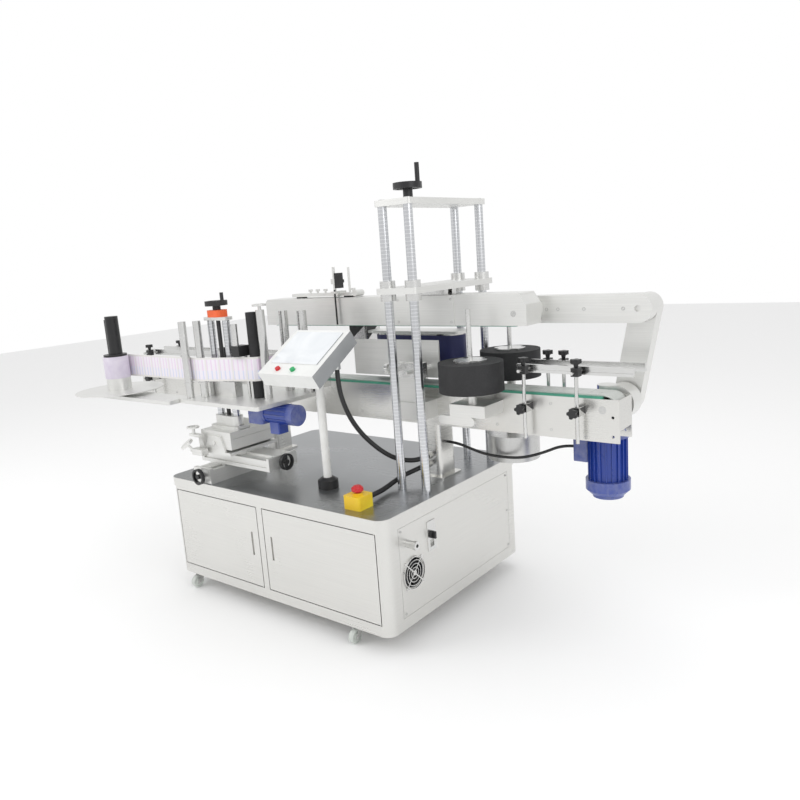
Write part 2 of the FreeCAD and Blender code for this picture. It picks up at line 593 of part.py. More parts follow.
def rail_clamp(x, side):
    """The posts, blocks and knobs of one rail support on the side of the conveyor."""
    y = CONV_Y + side * POST_REACH
    wall = CONV_Y + side * CONV_W / 2
    post = rod_z(x, y, 662, RAIL_ROD_Z - 13, POST_ROD_R)
    low = box(x - 13, x + 13, min(wall, y + side * 13), max(wall, y + side * 13), 750, 776)
    low = low.cut(rod_z(x, y, 740, 790, POST_ROD_R))
    top = box(x - 12, x + 12, y - 13, y + 13, RAIL_ROD_Z - 13, RAIL_ROD_Z + 13)
    top = top.cut(rod_y(x, y - 20, y + 20, RAIL_ROD_Z, RAIL_ROD_R + SHAFT_FIT))
    knob = placed(star_knob(17, 26), x, y + side * 13, 763, (0, side, 0))
    crown = placed(star_knob(17, 26), x, y, RAIL_ROD_Z + 13)
    return [post, low, top, knob, crown]


# ---------------------------------------------------------------- columns, press unit and linkage
COLUMN_Y = (CONV_Y - COLUMN_REACH, CONV_Y + COLUMN_REACH)
COLUMN_MID_X = sum(COLUMN_X) / 2
TOP_MARGIN_X = 20.0
TOP_MARGIN_Y = 18.0
CARRIAGE_MARGIN = 30.0
LIFT_DOWN = 15.0             # travel of the press unit below its rest
LIFT_UP = 90.0
BEAM_NEAR = CONV_Y - CONV_W / 2
BEAM_FAR = CONV_Y + CONV_W / 2
PULLEY_R = BELT_R - BELT_T - FIT
NOSE_X = -238.0
BELT_SHAFT_R = 10.0


def four(shape_at):
    return [shape_at(x, y) for x in COLUMN_X for y in COLUMN_Y]


def portal():
    columns = four(lambda x, y: rod_z(x, y, TABLE_TOP, HEAD_PLATE_Z, COLUMN_R))
    plate = slab(COLUMN_X[0] - TOP_MARGIN_X, COLUMN_X[1] + TOP_MARGIN_X, COLUMN_Y[0] - TOP_MARGIN_Y,
                 COLUMN_Y[1] + TOP_MARGIN_Y, HEAD_PLATE_Z, HEAD_PLATE_Z + PLATE_T, 8)
    plate = plate.cut(rod_z(COLUMN_MID_X, SCREW_Y, HEAD_PLATE_Z - 1, HEAD_PLATE_Z + PLATE_T + 1, SCREW_R + SHAFT_FIT))
    save("column_frame", plate, *columns)
    screw = rod_z(COLUMN_MID_X, SCREW_Y, CARRIAGE_Z - LIFT_DOWN - 10, HEAD_PLATE_Z + PLATE_T + 30, SCREW_R)
    wheel = placed(handwheel(48, 20, 16, 33, 58), COLUMN_MID_X, SCREW_Y, HEAD_PLATE_Z + PLATE_T + FIT)
    save("lift_handwheel", screw.fuse(wheel))


def carriage():
    plate = slab(COLUMN_X[0] - CARRIAGE_MARGIN, COLUMN_X[1] + CARRIAGE_MARGIN, COLUMN_Y[0] - CARRIAGE_MARGIN,
                 COLUMN_Y[1] + CARRIAGE_MARGIN, CARRIAGE_Z, CARRIAGE_Z + PLATE_T, 10)
    plate = plate.cut(four(lambda x, y: rod_z(x, y, CARRIAGE_Z - 1, CARRIAGE_Z + PLATE_T + 1, COLUMN_R + SHAFT_FIT)))
    plate = plate.cut(rod_z(COLUMN_MID_X, SCREW_Y, CARRIAGE_Z - 1, CARRIAGE_Z + PLATE_T + 1, SCREW_R + SHAFT_FIT))
    bore = COLUMN_R + SHAFT_FIT
    solids = [plate]
    solids += four(lambda x, y: tube_z(x, y, CARRIAGE_Z + PLATE_T, CARRIAGE_Z + PLATE_T + COLLAR_H, COLLAR_R, bore))
    solids += four(lambda x, y: tube_z(x, y, CARRIAGE_Z - COLLAR_H, CARRIAGE_Z, COLLAR_R, bore))
    for y in (CONV_Y - 36, CONV_Y + 12):
        solids.append(box(COLUMN_X[0], COLUMN_X[1], y, y + 24, BEAM_TOP, CARRIAGE_Z))
    save("carriage_plate", *solids)


def beam():
    outline = [Vector(BEAM_LEFT, BEAM_NEAR, BEAM_BOTTOM), Vector(BEAM_RIGHT, BEAM_NEAR, BEAM_BOTTOM),
               Vector(BEAM_RIGHT, BEAM_NEAR, BEAM_TOP - 36), Vector(BEAM_RIGHT - 24, BEAM_NEAR, BEAM_TOP),
               Vector(BEAM_LEFT + 10, BEAM_NEAR, BEAM_TOP), Vector(BEAM_LEFT, BEAM_NEAR, BEAM_TOP - 10)]
    outer = prism(outline, Vector(0, CONV_W, 0))
    hollow = box(BEAM_LEFT - 1, BEAM_RIGHT + 1, BEAM_NEAR + BEAM_WALL, BEAM_FAR - BEAM_WALL,
                 BEAM_BOTTOM - 1, BEAM_TOP - BEAM_WALL)
    shell = outer.cut(hollow)
    shell = shell.cut(rod_y(BELT_SHAFT_X, BEAM_NEAR - 1, BEAM_FAR + 1, BELT_SHAFT_Z, BELT_SHAFT_R + SHAFT_FIT))
    inner0 = BEAM_NEAR + BEAM_WALL
    inner1 = BEAM_FAR - BEAM_WALL
    cap_outline = [Vector(BEAM_RIGHT, inner0, BEAM_BOTTOM), Vector(BEAM_RIGHT, inner0, BEAM_TOP - 36),
                   Vector(BEAM_RIGHT - 22, inner0, BEAM_TOP - BEAM_WALL), Vector(BEAM_RIGHT - 26, inner0, BEAM_TOP - BEAM_WALL),
                   Vector(BEAM_RIGHT - 3, inner0, BEAM_TOP - 37), Vector(BEAM_RIGHT - 3, inner0, BEAM_BOTTOM)]
    keep = Part.makeCompound([outer])
    cap = prism(cap_outline, Vector(0, inner1 - inner0, 0)).common(keep)
    bed = box(NOSE_X, BELT_SHAFT_X - PULLEY_R - 6, inner0 + 6, inner1 - 6, BELT_SHAFT_Z - PULLEY_R, BELT_SHAFT_Z - PULLEY_R + 18)
    nose = rod_y(NOSE_X, inner0, inner1, BELT_SHAFT_Z, PULLEY_R)
    ties = [rod_y(x, inner0, inner1, BELT_SHAFT_Z - PULLEY_R + 18, 7) for x in (60, 400, 740)]
    bed = bed.fuse([nose] + ties).removeSplitter()
    cover = box(400, 652, BEAM_NEAR - 3, BEAM_NEAR, BEAM_BOTTOM, BEAM_TOP)
    boss = rod_y(BELT_SHAFT_X, BEAM_FAR, UPPER_ARM_Y - FIT, BELT_SHAFT_Z, 40)
    boss = boss.cut(rod_y(BELT_SHAFT_X, BEAM_FAR - 1, UPPER_ARM_Y, BELT_SHAFT_Z, BELT_SHAFT_R + SHAFT_FIT))
    save("press_beam", shell, *(cap.Solids + bed.Solids + [cover, boss]))
    belt0 = CONV_Y - BELT_W / 2
    belt1 = CONV_Y + BELT_W / 2
    belt = loop_xz(NOSE_X, BELT_SHAFT_X, BELT_SHAFT_Z, BELT_R, belt0, belt1)
    belt = belt.cut(loop_xz(NOSE_X, BELT_SHAFT_X, BELT_SHAFT_Z, BELT_R - BELT_T, belt0 - 1, belt1 + 1))
    save("press_belt", belt)
    pulley = rod_y(BELT_SHAFT_X, belt0, belt1, BELT_SHAFT_Z, PULLEY_R)
    pulley = pulley.fuse(rod_y(BELT_SHAFT_X, BEAM_NEAR + 1, UPPER_ARM_Y + ARM_T - 6, BELT_SHAFT_Z, BELT_SHAFT_R))
    save("press_pulley", pulley)


def linkage():
    y1 = UPPER_ARM_Y + ARM_T
    upper = link_xz(BELT_SHAFT_X, BELT_SHAFT_Z, ELBOW_X, ELBOW_Z, ARM_R, UPPER_ARM_Y, y1)
    upper = upper.cut(rod_y(BELT_SHAFT_X, UPPER_ARM_Y - 1, y1 - 5, BELT_SHAFT_Z, BELT_SHAFT_R + SHAFT_FIT))
    upper = upper.cut(rod_y(ELBOW_X, UPPER_ARM_Y - 1, UPPER_ARM_Y + 8, ELBOW_Z, 10))
    upper = upper.fuse(rod_y(ELBOW_X, y1, LOWER_ARM_Y + ARM_T - 8, ELBOW_Z, 12))
    save("upper_arm", upper)
    lower = link_xz(DRIVE_X, SHAFT_Z, ELBOW_X, ELBOW_Z, ARM_R - 2, LOWER_ARM_Y, LOWER_ARM_Y + ARM_T)
    lower = lower.cut(rod_y(DRIVE_X, LOWER_ARM_Y - 1, LOWER_ARM_Y + ARM_T - 1, SHAFT_Z, DRIVE_SHAFT_R + SHAFT_FIT))
    lower = lower.cut(rod_y(ELBOW_X, LOWER_ARM_Y - 1, LOWER_ARM_Y + ARM_T - 4, ELBOW_Z, 12 + ELBOW_PLAY))
    save("lower_arm", lower)


def sensor_bracket():
    z0 = BEAM_TOP + 6
    plate = slab(-162, 172, CONV_Y - 22, CONV_Y + 22, z0, z0 + 12, 6)
    feet = [box(x, x + 30, CONV_Y - 15, CONV_Y + 15, BEAM_TOP, z0) for x in (-140, 120)]
    arm = box(106, 130, 88, CONV_Y - 10, z0 + 12, z0 + 20)
    frame = plate.fuse(feet + [arm])
    eye = rod_y(182, CONV_Y - 22, CONV_Y + 22, z0 + 9, 12).fuse(box(160, 182, CONV_Y - 8, CONV_Y + 8, z0 + 3, z0 + 15))
    tall = rod_z(62, CONV_Y, z0 + 12, 1242, 6)
    thin = rod_z(140, CONV_Y, z0 + 12, 1238, 4.5)
    head = box(74, 98, CONV_Y - 12, CONV_Y + 12, 1160, 1218)
    clip = box(60, 98, CONV_Y + 12, CONV_Y + 18, 1180, 1192).fuse(box(52, 72, CONV_Y - 9, CONV_Y + 18, 1176, 1196))
    clip = clip.cut(tall)
    probe = rod_z(118, 98, BEAM_BOTTOM + 4, z0 + 26, 3.5)
    eyepiece = box(84, 108, CONV_Y - 36, CONV_Y - 22, z0 - 2, z0 + 10)
    knobs = [placed(star_knob(9, 16), x, CONV_Y - 12, z0 + 12) for x in (-60, -20, 22, 168)]
    save("sensor_bracket", frame.fuse(eye).cut(probe), tall, thin, head, clip, probe, eyepiece, *knobs)


# ---------------------------------------------------------------- bottle separator
def separator_wheel(x, y):
    foam = tube_z(x, y, WHEEL_BOTTOM, WHEEL_TOP, WHEEL_R, 40)
    hub = rod_z(x, y, WHEEL_BOTTOM, WHEEL_TOP, 40)
    flange = rod_z(x, y, WHEEL_TOP, WHEEL_TOP + 6, 55)
    for i in range(4):
        angle = math.radians(45 + 90 * i)
        flange = flange.cut(rod_z(x + 55 * math.cos(angle), y + 55 * math.sin(angle), WHEEL_TOP - 1, WHEEL_TOP + 8, 14))
    spindle = rod_z(x, y, 700, SPINDLE_TOP, SPINDLE_R)
    return foam, hub.fuse([flange, spindle]).removeSplitter()


def separator():
    save("separator_wheel_near", *separator_wheel(*NEAR_WHEEL))
    save("separator_wheel_far", *separator_wheel(*FAR_WHEEL))
    solids = []
    for (x, y), side in ((NEAR_WHEEL, -1), (FAR_WHEEL, 1)):
        wall = CONV_Y + side * CONV_W / 2
        tip = y + side * 36
        block = box(x - 68, x + 68, min(wall, tip), max(wall, tip), 735, 775)
        block = block.cut(rod_z(x, y, 690, 790, SPINDLE_R + SHAFT_FIT))
        link = link_xz(x - 100, 720, x + 12, 720, 15, min(tip, tip - side * 12), max(tip, tip - side * 12))
        sleeve = tube_z(x, y, 775, WHEEL_BOTTOM - FIT, 16, SPINDLE_R + SHAFT_FIT)
        solids += [block.fuse(sleeve), link]
    x, y = FAR_WHEEL
    neck = tube_z(x, y, 612, 735, 24, SPINDLE_R + 1)
    drum = rod_z(x, y, 520, 612, 94)
    solids += [neck, drum]
    save("separator_stands", *solids)


# ---------------------------------------------------------------- wrap station
WRAP_LEFT = 250.0
WRAP_RIGHT = 552.0
WRAP_Y = 242.0
WRAP_R = 46.0
WRAP_BOTTOM = 832.0
WRAP_TOP = 974.0
PRESS_X0 = 180.0
PRESS_X1 = 575.0
PRESS_Y = 112.0
PRESS_ROD_X = (448.0, 532.0)
PRESS_ROD_Z = 875.0
PRESS_ROD_R = 8.0


def plan_loop(r, z0, z1):
    """An upright loop of radius r round the two wrap rollers."""
    a = Vector(WRAP_LEFT, WRAP_Y, z0)
    b = Vector(WRAP_RIGHT, WRAP_Y, z0)
    side = Vector(0, r, 0)
    edges = [
        Part.LineSegment(a - side, b - side).toShape(),
        Part.Arc(b - side, b + Vector(r, 0, 0), b + side).toShape(),
        Part.LineSegment(b + side, a + side).toShape(),
        Part.Arc(a + side, a - Vector(r, 0, 0), a - side).toShape(),
    ]
    return Part.Face(Part.Wire(edges)).extrude(Vector(0, 0, z1 - z0))


def wrap_station():
    belt = plan_loop(WRAP_R, WRAP_BOTTOM, WRAP_TOP).cut(plan_loop(WRAP_R - 4, WRAP_BOTTOM - 1, WRAP_TOP + 1))
    save("wrap_belt", belt)
    core_r = WRAP_R - 4 - FIT
    rollers = [rod_z(x, WRAP_Y, WRAP_BOTTOM - 2, WRAP_TOP + 4, core_r) for x in (WRAP_LEFT, WRAP_RIGHT)]
    board = box(WRAP_LEFT + core_r + 4, WRAP_RIGHT - core_r - 4, WRAP_Y - core_r, WRAP_Y - core_r + 20, WRAP_BOTTOM - 2, WRAP_TOP + 4)
    top = slab(WRAP_LEFT - WRAP_R - 10, WRAP_RIGHT + WRAP_R - 4, WRAP_Y - 36, WRAP_Y + 58, WRAP_TOP + 4, WRAP_TOP + 14, 8)
    base = slab(WRAP_LEFT - WRAP_R, WRAP_RIGHT + WRAP_R, FAR_SIDE - 4, WRAP_Y + 48, WRAP_BOTTOM - 12, WRAP_BOTTOM - 2, 8)
    bracket = box(360, 440, FAR_SIDE, FAR_SIDE + 12, 690, WRAP_BOTTOM - 12)
    motor = slab(70, 160, WRAP_Y - 30, WRAP_Y + 58, WRAP_TOP - 26, WRAP_TOP + 34, 6)
    arm = box(150, WRAP_LEFT - WRAP_R - 10, WRAP_Y - 20, WRAP_Y + 40, WRAP_TOP + 4, WRAP_TOP + 14).cut(motor)
    shelf = box(PRESS_ROD_X[0] - 26, PRESS_ROD_X[1] + 26, 20, NEAR_SIDE, 700, 762)
    upright = box(PRESS_ROD_X[0] - 6, PRESS_ROD_X[1] + 6, 26, 50, 762, PRESS_ROD_Z - 25)
    guide = box(PRESS_ROD_X[0] - 26, PRESS_ROD_X[1] + 26, 20, 62, PRESS_ROD_Z - 25, PRESS_ROD_Z + 25)
    guide = guide.cut([rod_y(x, 10, 70, PRESS_ROD_Z, PRESS_ROD_R + SHAFT_FIT) for x in PRESS_ROD_X])
    knob = placed(star_knob(20, 30), PRESS_ROD_X[0] - 26, 41, PRESS_ROD_Z, (-1, 0, 0))
    save("wrap_station", board, top, base, bracket, motor, arm, shelf, upright, guide, knob, *rollers)
    plate = box(PRESS_X0, PRESS_X1, PRESS_Y, PRESS_Y + 6, 836, 969)
    for x in PRESS_ROD_X:
        plate = plate.fuse(rod_y(x, -28, PRESS_Y, PRESS_ROD_Z, PRESS_ROD_R))
    save("press_plate", plate)


# ---------------------------------------------------------------- operator console and emergency stop
def console_normal():
    dy = CONSOLE_REAR[0] - CONSOLE_FRONT[0]
    dz = CONSOLE_REAR[1] - CONSOLE_FRONT[1]
    length = math.hypot(dy, dz)
    return Vector(0, -dz / length, dy / length)


def console_point(along, height, x=0.0):
    """A point on the sloping face: along it from the front edge, and above it."""
    dy = CONSOLE_REAR[0] - CONSOLE_FRONT[0]
    dz = CONSOLE_REAR[1] - CONSOLE_FRONT[1]
    length = math.hypot(dy, dz)
    base = Vector(x, CONSOLE_FRONT[0] + dy / length * along, CONSOLE_FRONT[1] + dz / length * along)
    return base + console_normal() * height


def console_block(x0, x1, a0, a1, h0, h1):
    outline = [console_point(a0, h0, x0), console_point(a1, h0, x0), console_point(a1, h1, x0), console_point(a0, h1, x0)]
    return prism(outline, Vector(x1 - x0, 0, 0))


BUTTON_R = 9.0
BUTTON_ALONG = 26.0
BUTTON_X = {"start_button": 262.0, "stop_button": 190.0}
STOP_X = 482.0
GLAND = (348.0, -168.0, 905.0)   # where the conduit leaves the console
STOP_Y = -262.0
STOP_HALF = 36.0


def console():
    n = console_normal()
    length = math.hypot(CONSOLE_REAR[0] - CONSOLE_FRONT[0], CONSOLE_REAR[1] - CONSOLE_FRONT[1])
    x0 = CONSOLE_X - CONSOLE_W / 2
    x1 = CONSOLE_X + CONSOLE_W / 2
    case = console_block(x0, x1, 0, length, -CONSOLE_T, 0)
    for name, x in BUTTON_X.items():
        hole = Part.makeCylinder(BUTTON_R + SHAFT_FIT, 22, console_point(BUTTON_ALONG, -20, x), n)
        case = case.cut(hole)
    gland = rod_z(GLAND[0], GLAND[1], GLAND[2], CONSOLE_REAR[1], 13)
    case = case.fuse(gland.cut(console_block(x0 - 10, x1 + 10, -100, length + 100, -CONSOLE_T, 300)))
    screen = console_block(x0 + 22, x1 - 22, 56, length - 14, 0, 3)
    save("console_box", case, screen)
    foot = rod_z(CONSOLE_X, POST_Y, TABLE_TOP, TABLE_TOP + 30, 37)
    foot = foot.fuse(cone_z(CONSOLE_X, POST_Y, TABLE_TOP + 30, TABLE_TOP + 40, 37, 22))
    foot = foot.cut(rod_z(CONSOLE_X, POST_Y, TABLE_TOP + 4, TABLE_TOP + 50, 15))
    post = rod_z(CONSOLE_X, POST_Y, TABLE_TOP + 4, 960, 15)
    head = box(CONSOLE_X - 40, CONSOLE_X + 40, POST_Y - 30, POST_Y + 30, 880, 960)
    post = post.fuse(head).cut(console_block(x0 - 10, x1 + 10, -100, length + 100, -CONSOLE_T, 300))
    save("console_post", foot, post.removeSplitter())
    for name, x in BUTTON_X.items():
        stem = Part.makeCylinder(BUTTON_R, 16, console_point(BUTTON_ALONG, -8, x), n)
        save(name, stem)
    half = STOP_HALF
    body = slab(STOP_X - half, STOP_X + half, STOP_Y - half, STOP_Y + half, TABLE_TOP, TABLE_TOP + 45, 8)
    body = body.cut(rod_z(STOP_X, STOP_Y, TABLE_TOP + 15, TABLE_TOP + 60, 9 + SHAFT_FIT))
    collar = tube_z(STOP_X, STOP_Y, TABLE_TOP + 45, TABLE_TOP + 50, 17, 9 + SHAFT_FIT)
    save("stop_box", body.fuse(collar))
    stem = rod_z(STOP_X, STOP_Y, TABLE_TOP + 25, TABLE_TOP + 60, 9)
    crown = rod_z(STOP_X, STOP_Y, TABLE_TOP + 57, TABLE_TOP + 67, 20)
    dome = cone_z(STOP_X, STOP_Y, TABLE_TOP + 67, TABLE_TOP + 74, 20, 12)
    save("stop_mushroom", stem.fuse([crown, dome]).removeSplitter())


# ---------------------------------------------------------------- label head
SLIDE_X = -250.0
SLIDE_HALF = 50.0
SLIDE_TOP = 525.0
CROSS_Y = -188.0
CROSS_HALF = 70.0
CROSS_TOP = 575.0
CROSS_RIGHT = 51.0
CROSS_LEFT = -345.0
KEY_H = 8.0
SLIDE_WHEEL_R = 31.0
TILT_W = 175.0
TILT_Y0 = -285.0
TILT_Y1 = -70.0
TILT_BOTTOM = 596.0
TILT_TOP = 663.0
TILT_PIN_R = 8.0
EAR_T = 9.0
CASTING_TOP = 712.0
MAST_TOP = 1078.0
CAP_T = 12.0
ROLLER_TOP = 1080.0
WEB_T = 1.0
ROLLER_PIN_R = 6.0
STUB_R = 10.0               # stubs of the reel and of the traction roller
PLATE_LEFT = -345.0
PLATE_RIGHT = 105.0
FRONT_ROLLER = (-322.0, -290.0)
REAR_ROLLER = (-268.0, -263.0)
TRACTION = (-36.0, -190.0)
NIP = (12.0, -190.0)
POST_1 = (-32.0, -40.0)
POST_2 = (69.0, -40.0)


def slides():
    base = box(SLIDE_X - SLIDE_HALF, SLIDE_X + SLIDE_HALF, CAB_FRONT + 6, -60, TABLE_TOP, SLIDE_TOP - 6)
    rail = box(SLIDE_X - 18, SLIDE_X + 18, CAB_FRONT + 26, -70, SLIDE_TOP - 6, SLIDE_TOP)
    rail = rail.fuse(box(SLIDE_X - 24, SLIDE_X + 24, CAB_FRONT + 26, -70, SLIDE_TOP - 3, SLIDE_TOP))
    end = box(SLIDE_X - SLIDE_HALF, SLIDE_X + SLIDE_HALF, CAB_FRONT + 6, CAB_FRONT + 22, SLIDE_TOP - 6, SLIDE_TOP)
    base = base.fuse([rail, end])
    base = base.cut(rod_y(SLIDE_X, CAB_FRONT, CAB_FRONT + 40, (TABLE_TOP + SLIDE_TOP) / 2, 6 + SHAFT_FIT))
    save("slide_base", base.removeSplitter())
    wheel = placed(handwheel(SLIDE_WHEEL_R, 13, 9, 12, 0), SLIDE_X, CAB_FRONT + 6 - FIT, (TABLE_TOP + SLIDE_TOP) / 2, (0, -1, 0))
    wheel = wheel.fuse(rod_y(SLIDE_X, CAB_FRONT - 10, CAB_FRONT + 36, (TABLE_TOP + SLIDE_TOP) / 2, 6))
    save("slide_wheel_y", wheel)
    y0 = CROSS_Y - CROSS_HALF
    y1 = CROSS_Y + CROSS_HALF
    cross = box(CROSS_LEFT, CROSS_RIGHT, y0, y1, SLIDE_TOP + FIT, CROSS_TOP - 8)
    cross = cross.fuse(box(CROSS_LEFT + 14, CROSS_RIGHT - 14, CROSS_Y - 30, CROSS_Y + 30, CROSS_TOP - 8, CROSS_TOP))
    for y in (y0 - 1, y1 - 7):
        cross = cross.cut(box(CROSS_LEFT + 16, CROSS_RIGHT - 16, y, y + 8, SLIDE_TOP + 14, SLIDE_TOP + 24))
    for x0, x1 in ((CROSS_LEFT, CROSS_LEFT + 12), (CROSS_RIGHT - 12, CROSS_RIGHT)):
        cross = cross.fuse(box(x0, x1, y0, y1, CROSS_TOP - 8, CROSS_TOP))
    for side in (-1, 1):
        jaw = box(min(side * 24.3, side * 44), max(side * 24.3, side * 44), y0, y1, SLIDE_TOP - 6 + FIT, SLIDE_TOP + FIT)
        jaw.translate(Vector(SLIDE_X, 0, 0))
        cross = cross.fuse(jaw)
    cross = cross.cut(rod_x(CROSS_RIGHT - 40, CROSS_RIGHT + 5, CROSS_Y, SLIDE_TOP + 25, 6 + SHAFT_FIT))
    save("cross_slide", cross.removeSplitter())
    wheel = placed(handwheel(SLIDE_WHEEL_R, 13, 9, 12, 0), CROSS_RIGHT + FIT, CROSS_Y, SLIDE_TOP + 25, (1, 0, 0))
    wheel = wheel.fuse(rod_x(CROSS_RIGHT - 36, CROSS_RIGHT + 14, CROSS_Y, SLIDE_TOP + 25, 6))
    save("slide_wheel_x", wheel)


def saddle():
    """The carriage on the cross slide, with the two ears and the pin that the tilt block swings on."""
    x0 = HEAD_X - TILT_W / 2
    x1 = HEAD_X + TILT_W / 2
    plate = box(x0, x1, TILT_Y0 - EAR_T - FIT, TILT_Y1 + EAR_T + FIT, CROSS_TOP + FIT, CROSS_TOP + 12)
    jaws = [box(x0, x1, CROSS_Y + s0, CROSS_Y + s1, CROSS_TOP - 7, CROSS_TOP + FIT) for s0, s1 in ((-56, -30 - FIT), (30 + FIT, 56))]
    ears = []
    for y0 in (TILT_Y0 - EAR_T - FIT, TILT_Y1 + FIT):
        outline = [Vector(HEAD_X - 60, y0, CROSS_TOP + 10), Vector(HEAD_X + 60, y0, CROSS_TOP + 10),
                   Vector(HEAD_X + 34, y0, TILT_Z + 26), Vector(HEAD_X - 34, y0, TILT_Z + 26)]
        ears.append(prism(outline, Vector(0, EAR_T, 0)))
    pin = rod_y(HEAD_X, TILT_Y0 - EAR_T - 6, TILT_Y1 + EAR_T + 6, TILT_Z, TILT_PIN_R)
    body = plate.fuse(jaws + ears + [pin]).removeSplitter()
    bar_y = TILT_Y0 - EAR_T - FIT
    bar = box(x0 - 36, x0 + 30, bar_y - 22, bar_y, CROSS_TOP + 64, CROSS_TOP + 74)
    web = box(x0 + 6, x0 + 30, bar_y - 10, bar_y, CROSS_TOP + 12 - 10, CROSS_TOP + 64)
    bar = bar.fuse(web)
    worm = box(x0 - 6, x0 + 56, bar_y - 40, bar_y - 10, CROSS_TOP - 2, CROSS_TOP + 22).cut(body)
    knob = placed(handwheel(24, 6, 6, 22, 0), x0 - 20, bar_y - 11, CROSS_TOP + 74)
    dial = placed(rod_z(0, 0, 0, 10, 26).fuse(rod_z(0, 0, -34, 0, 5)), x0 - 12, bar_y - 50, CROSS_TOP + 38, (-0.35, -0.5, 0.8))
    stud = rod_x(x0 - 26, x0 - 6, bar_y - 25, CROSS_TOP + 10, 7)
    save("x_carriage", body, bar.cut(worm), worm.cut(dial), knob, dial, stud)


def mast():
    x0 = HEAD_X - TILT_W / 2
    block = box(x0, x0 + TILT_W, TILT_Y0, TILT_Y1, TILT_BOTTOM, TILT_TOP)
    block = block.cut(rod_y(HEAD_X, TILT_Y0 - 1, TILT_Y1 + 1, TILT_Z, TILT_PIN_R + SHAFT_FIT))
    block = block.cut(box(x0 + TILT_W - 4, x0 + TILT_W + 1, TILT_Y0 + 12, TILT_Y1 - 12, TILT_BOTTOM + 40, TILT_BOTTOM + 50))
    casting = slab(HEAD_X - 78, HEAD_X + 78, HEAD_Y - 38, HEAD_Y + 38, TILT_TOP, TILT_TOP + 12, 16)
    casting = casting.fuse(slab(HEAD_X - 66, HEAD_X + 66, HEAD_Y - 24, HEAD_Y + 24, TILT_TOP, CASTING_TOP, 22))
    column_x = (HEAD_X - HEAD_COLUMN_REACH, HEAD_X + HEAD_COLUMN_REACH)
    columns = [rod_z(x, HEAD_Y, CASTING_TOP, MAST_TOP, HEAD_COLUMN_R) for x in column_x]
    cap = slab(HEAD_X - 64, HEAD_X + 64, HEAD_Y - 22, HEAD_Y + 22, MAST_TOP, MAST_TOP + CAP_T, 10)
    screw_hole = rod_z(HEAD_X, HEAD_Y, CASTING_TOP - 20, MAST_TOP + CAP_T + 40, SCREW_R + SHAFT_FIT)
    counter = slab(HEAD_X - 36, HEAD_X + 36, HEAD_Y - 26, HEAD_Y + 26, MAST_TOP + CAP_T, MAST_TOP + CAP_T + 26, 14)
    save("head_mast", block, casting.cut(screw_hole), *(columns + [cap.cut(screw_hole), counter.cut(screw_hole)]))
    wheel_z = MAST_TOP + CAP_T + 26 + FIT
    wheel = placed(handwheel(42, 18, 15, 16, 30), HEAD_X, HEAD_Y, wheel_z)
    save("height_wheel", wheel.fuse(rod_z(HEAD_X, HEAD_Y, CASTING_TOP - 18, wheel_z + 10, SCREW_R)))


def head_plate():
    """The level plate that carries every roller, the reel and the label motor."""
    z0 = ARM_PLATE_Z
    z1 = z0 + ARM_PLATE_T
    main = slab(PLATE_LEFT, PLATE_RIGHT, -330, -10, z0, z1, 12)
    arm = slab(-911, PLATE_LEFT, REEL_Y - 55, REEL_Y + 53, z0, z1, 12)
    bridge = box(PLATE_LEFT - 14, PLATE_LEFT, REEL_Y - 5, REEL_Y + 53, z0, z1)
    arm = arm.fuse(bridge).removeSplitter()
    block = slab(HEAD_X - 76, HEAD_X + 76, HEAD_Y - 25, HEAD_Y + 25, z1, z1 + 60, 12)
    bores = [rod_z(HEAD_X, HEAD_Y, z0 - 1, z1 + 70, SCREW_R + SHAFT_FIT)]
    bores += [rod_z(HEAD_X + dx, HEAD_Y, z0 - 1, z1 + 70, HEAD_COLUMN_R + SHAFT_FIT)
              for dx in (-HEAD_COLUMN_REACH, HEAD_COLUMN_REACH)]
    seats = [rod_z(x, y, z0 + 2, z1 + 1, ROLLER_PIN_R) for x, y in (FRONT_ROLLER, REAR_ROLLER)]
    main = main.cut(bores + seats + [rod_z(TRACTION[0], TRACTION[1], z0 - 1, z1 + 1, STUB_R + SHAFT_FIT)])
    block = block.cut(bores)
    arm = arm.cut(rod_z(REEL_X, REEL_Y, z0 - 1, z1 + 1, STUB_R + SHAFT_FIT))
    posts = [rod_z(x, y, z1, ROLLER_TOP + 14, 18) for x, y in (POST_1, POST_2)]
    nip = rod_z(NIP[0], NIP[1], z1, 1112, 16)
    nip_knob = placed(handwheel(26, 7, 6, 14, 0), NIP[0], NIP[1], 1112)
    sensor = box(-104, -62, -245, -196, 946, 985)
    small = rod_z(-90, -232, 985, 1065, 12)
    stalk = rod_z(-76, -203, z1, 946, 6)
    blade = box(62, 70, -20, 84, z1, 958)
    blade = blade.fuse(box(62, 92, -20, -10, z1, 958))
    save("head_plate", main, arm, block, nip, nip_knob, small, sensor, stalk, blade, *(posts + roller_pins(z0 + 2)))


def roller_pins(z0):
    return [rod_z(x, y, z0, ROLLER_TOP - 10, ROLLER_PIN_R) for x, y in (FRONT_ROLLER, REAR_ROLLER)]


def rollers():
    z0 = ARM_PLATE_Z + ARM_PLATE_T + FIT
    for (x, y), name in ((FRONT_ROLLER, "guide_roller_front"), (REAR_ROLLER, "guide_roller_rear")):
        roller = rod_z(x, y, z0, ROLLER_TOP, ROLLER_R)
        roller = roller.fuse(rod_z(x, y, LABEL_BOTTOM - 8, LABEL_BOTTOM - 4, ROLLER_R + 5))
        save(name, roller.cut(rod_z(x, y, z0 - 1, ROLLER_TOP - 10 + FIT, ROLLER_PIN_R + SHAFT_FIT)))
    x, y = TRACTION
    traction = rod_z(x, y, z0, 1104, TRACTION_R)
    save("traction_roller", traction.fuse(rod_z(x, y, ARM_PLATE_Z - 30, z0, STUB_R)))


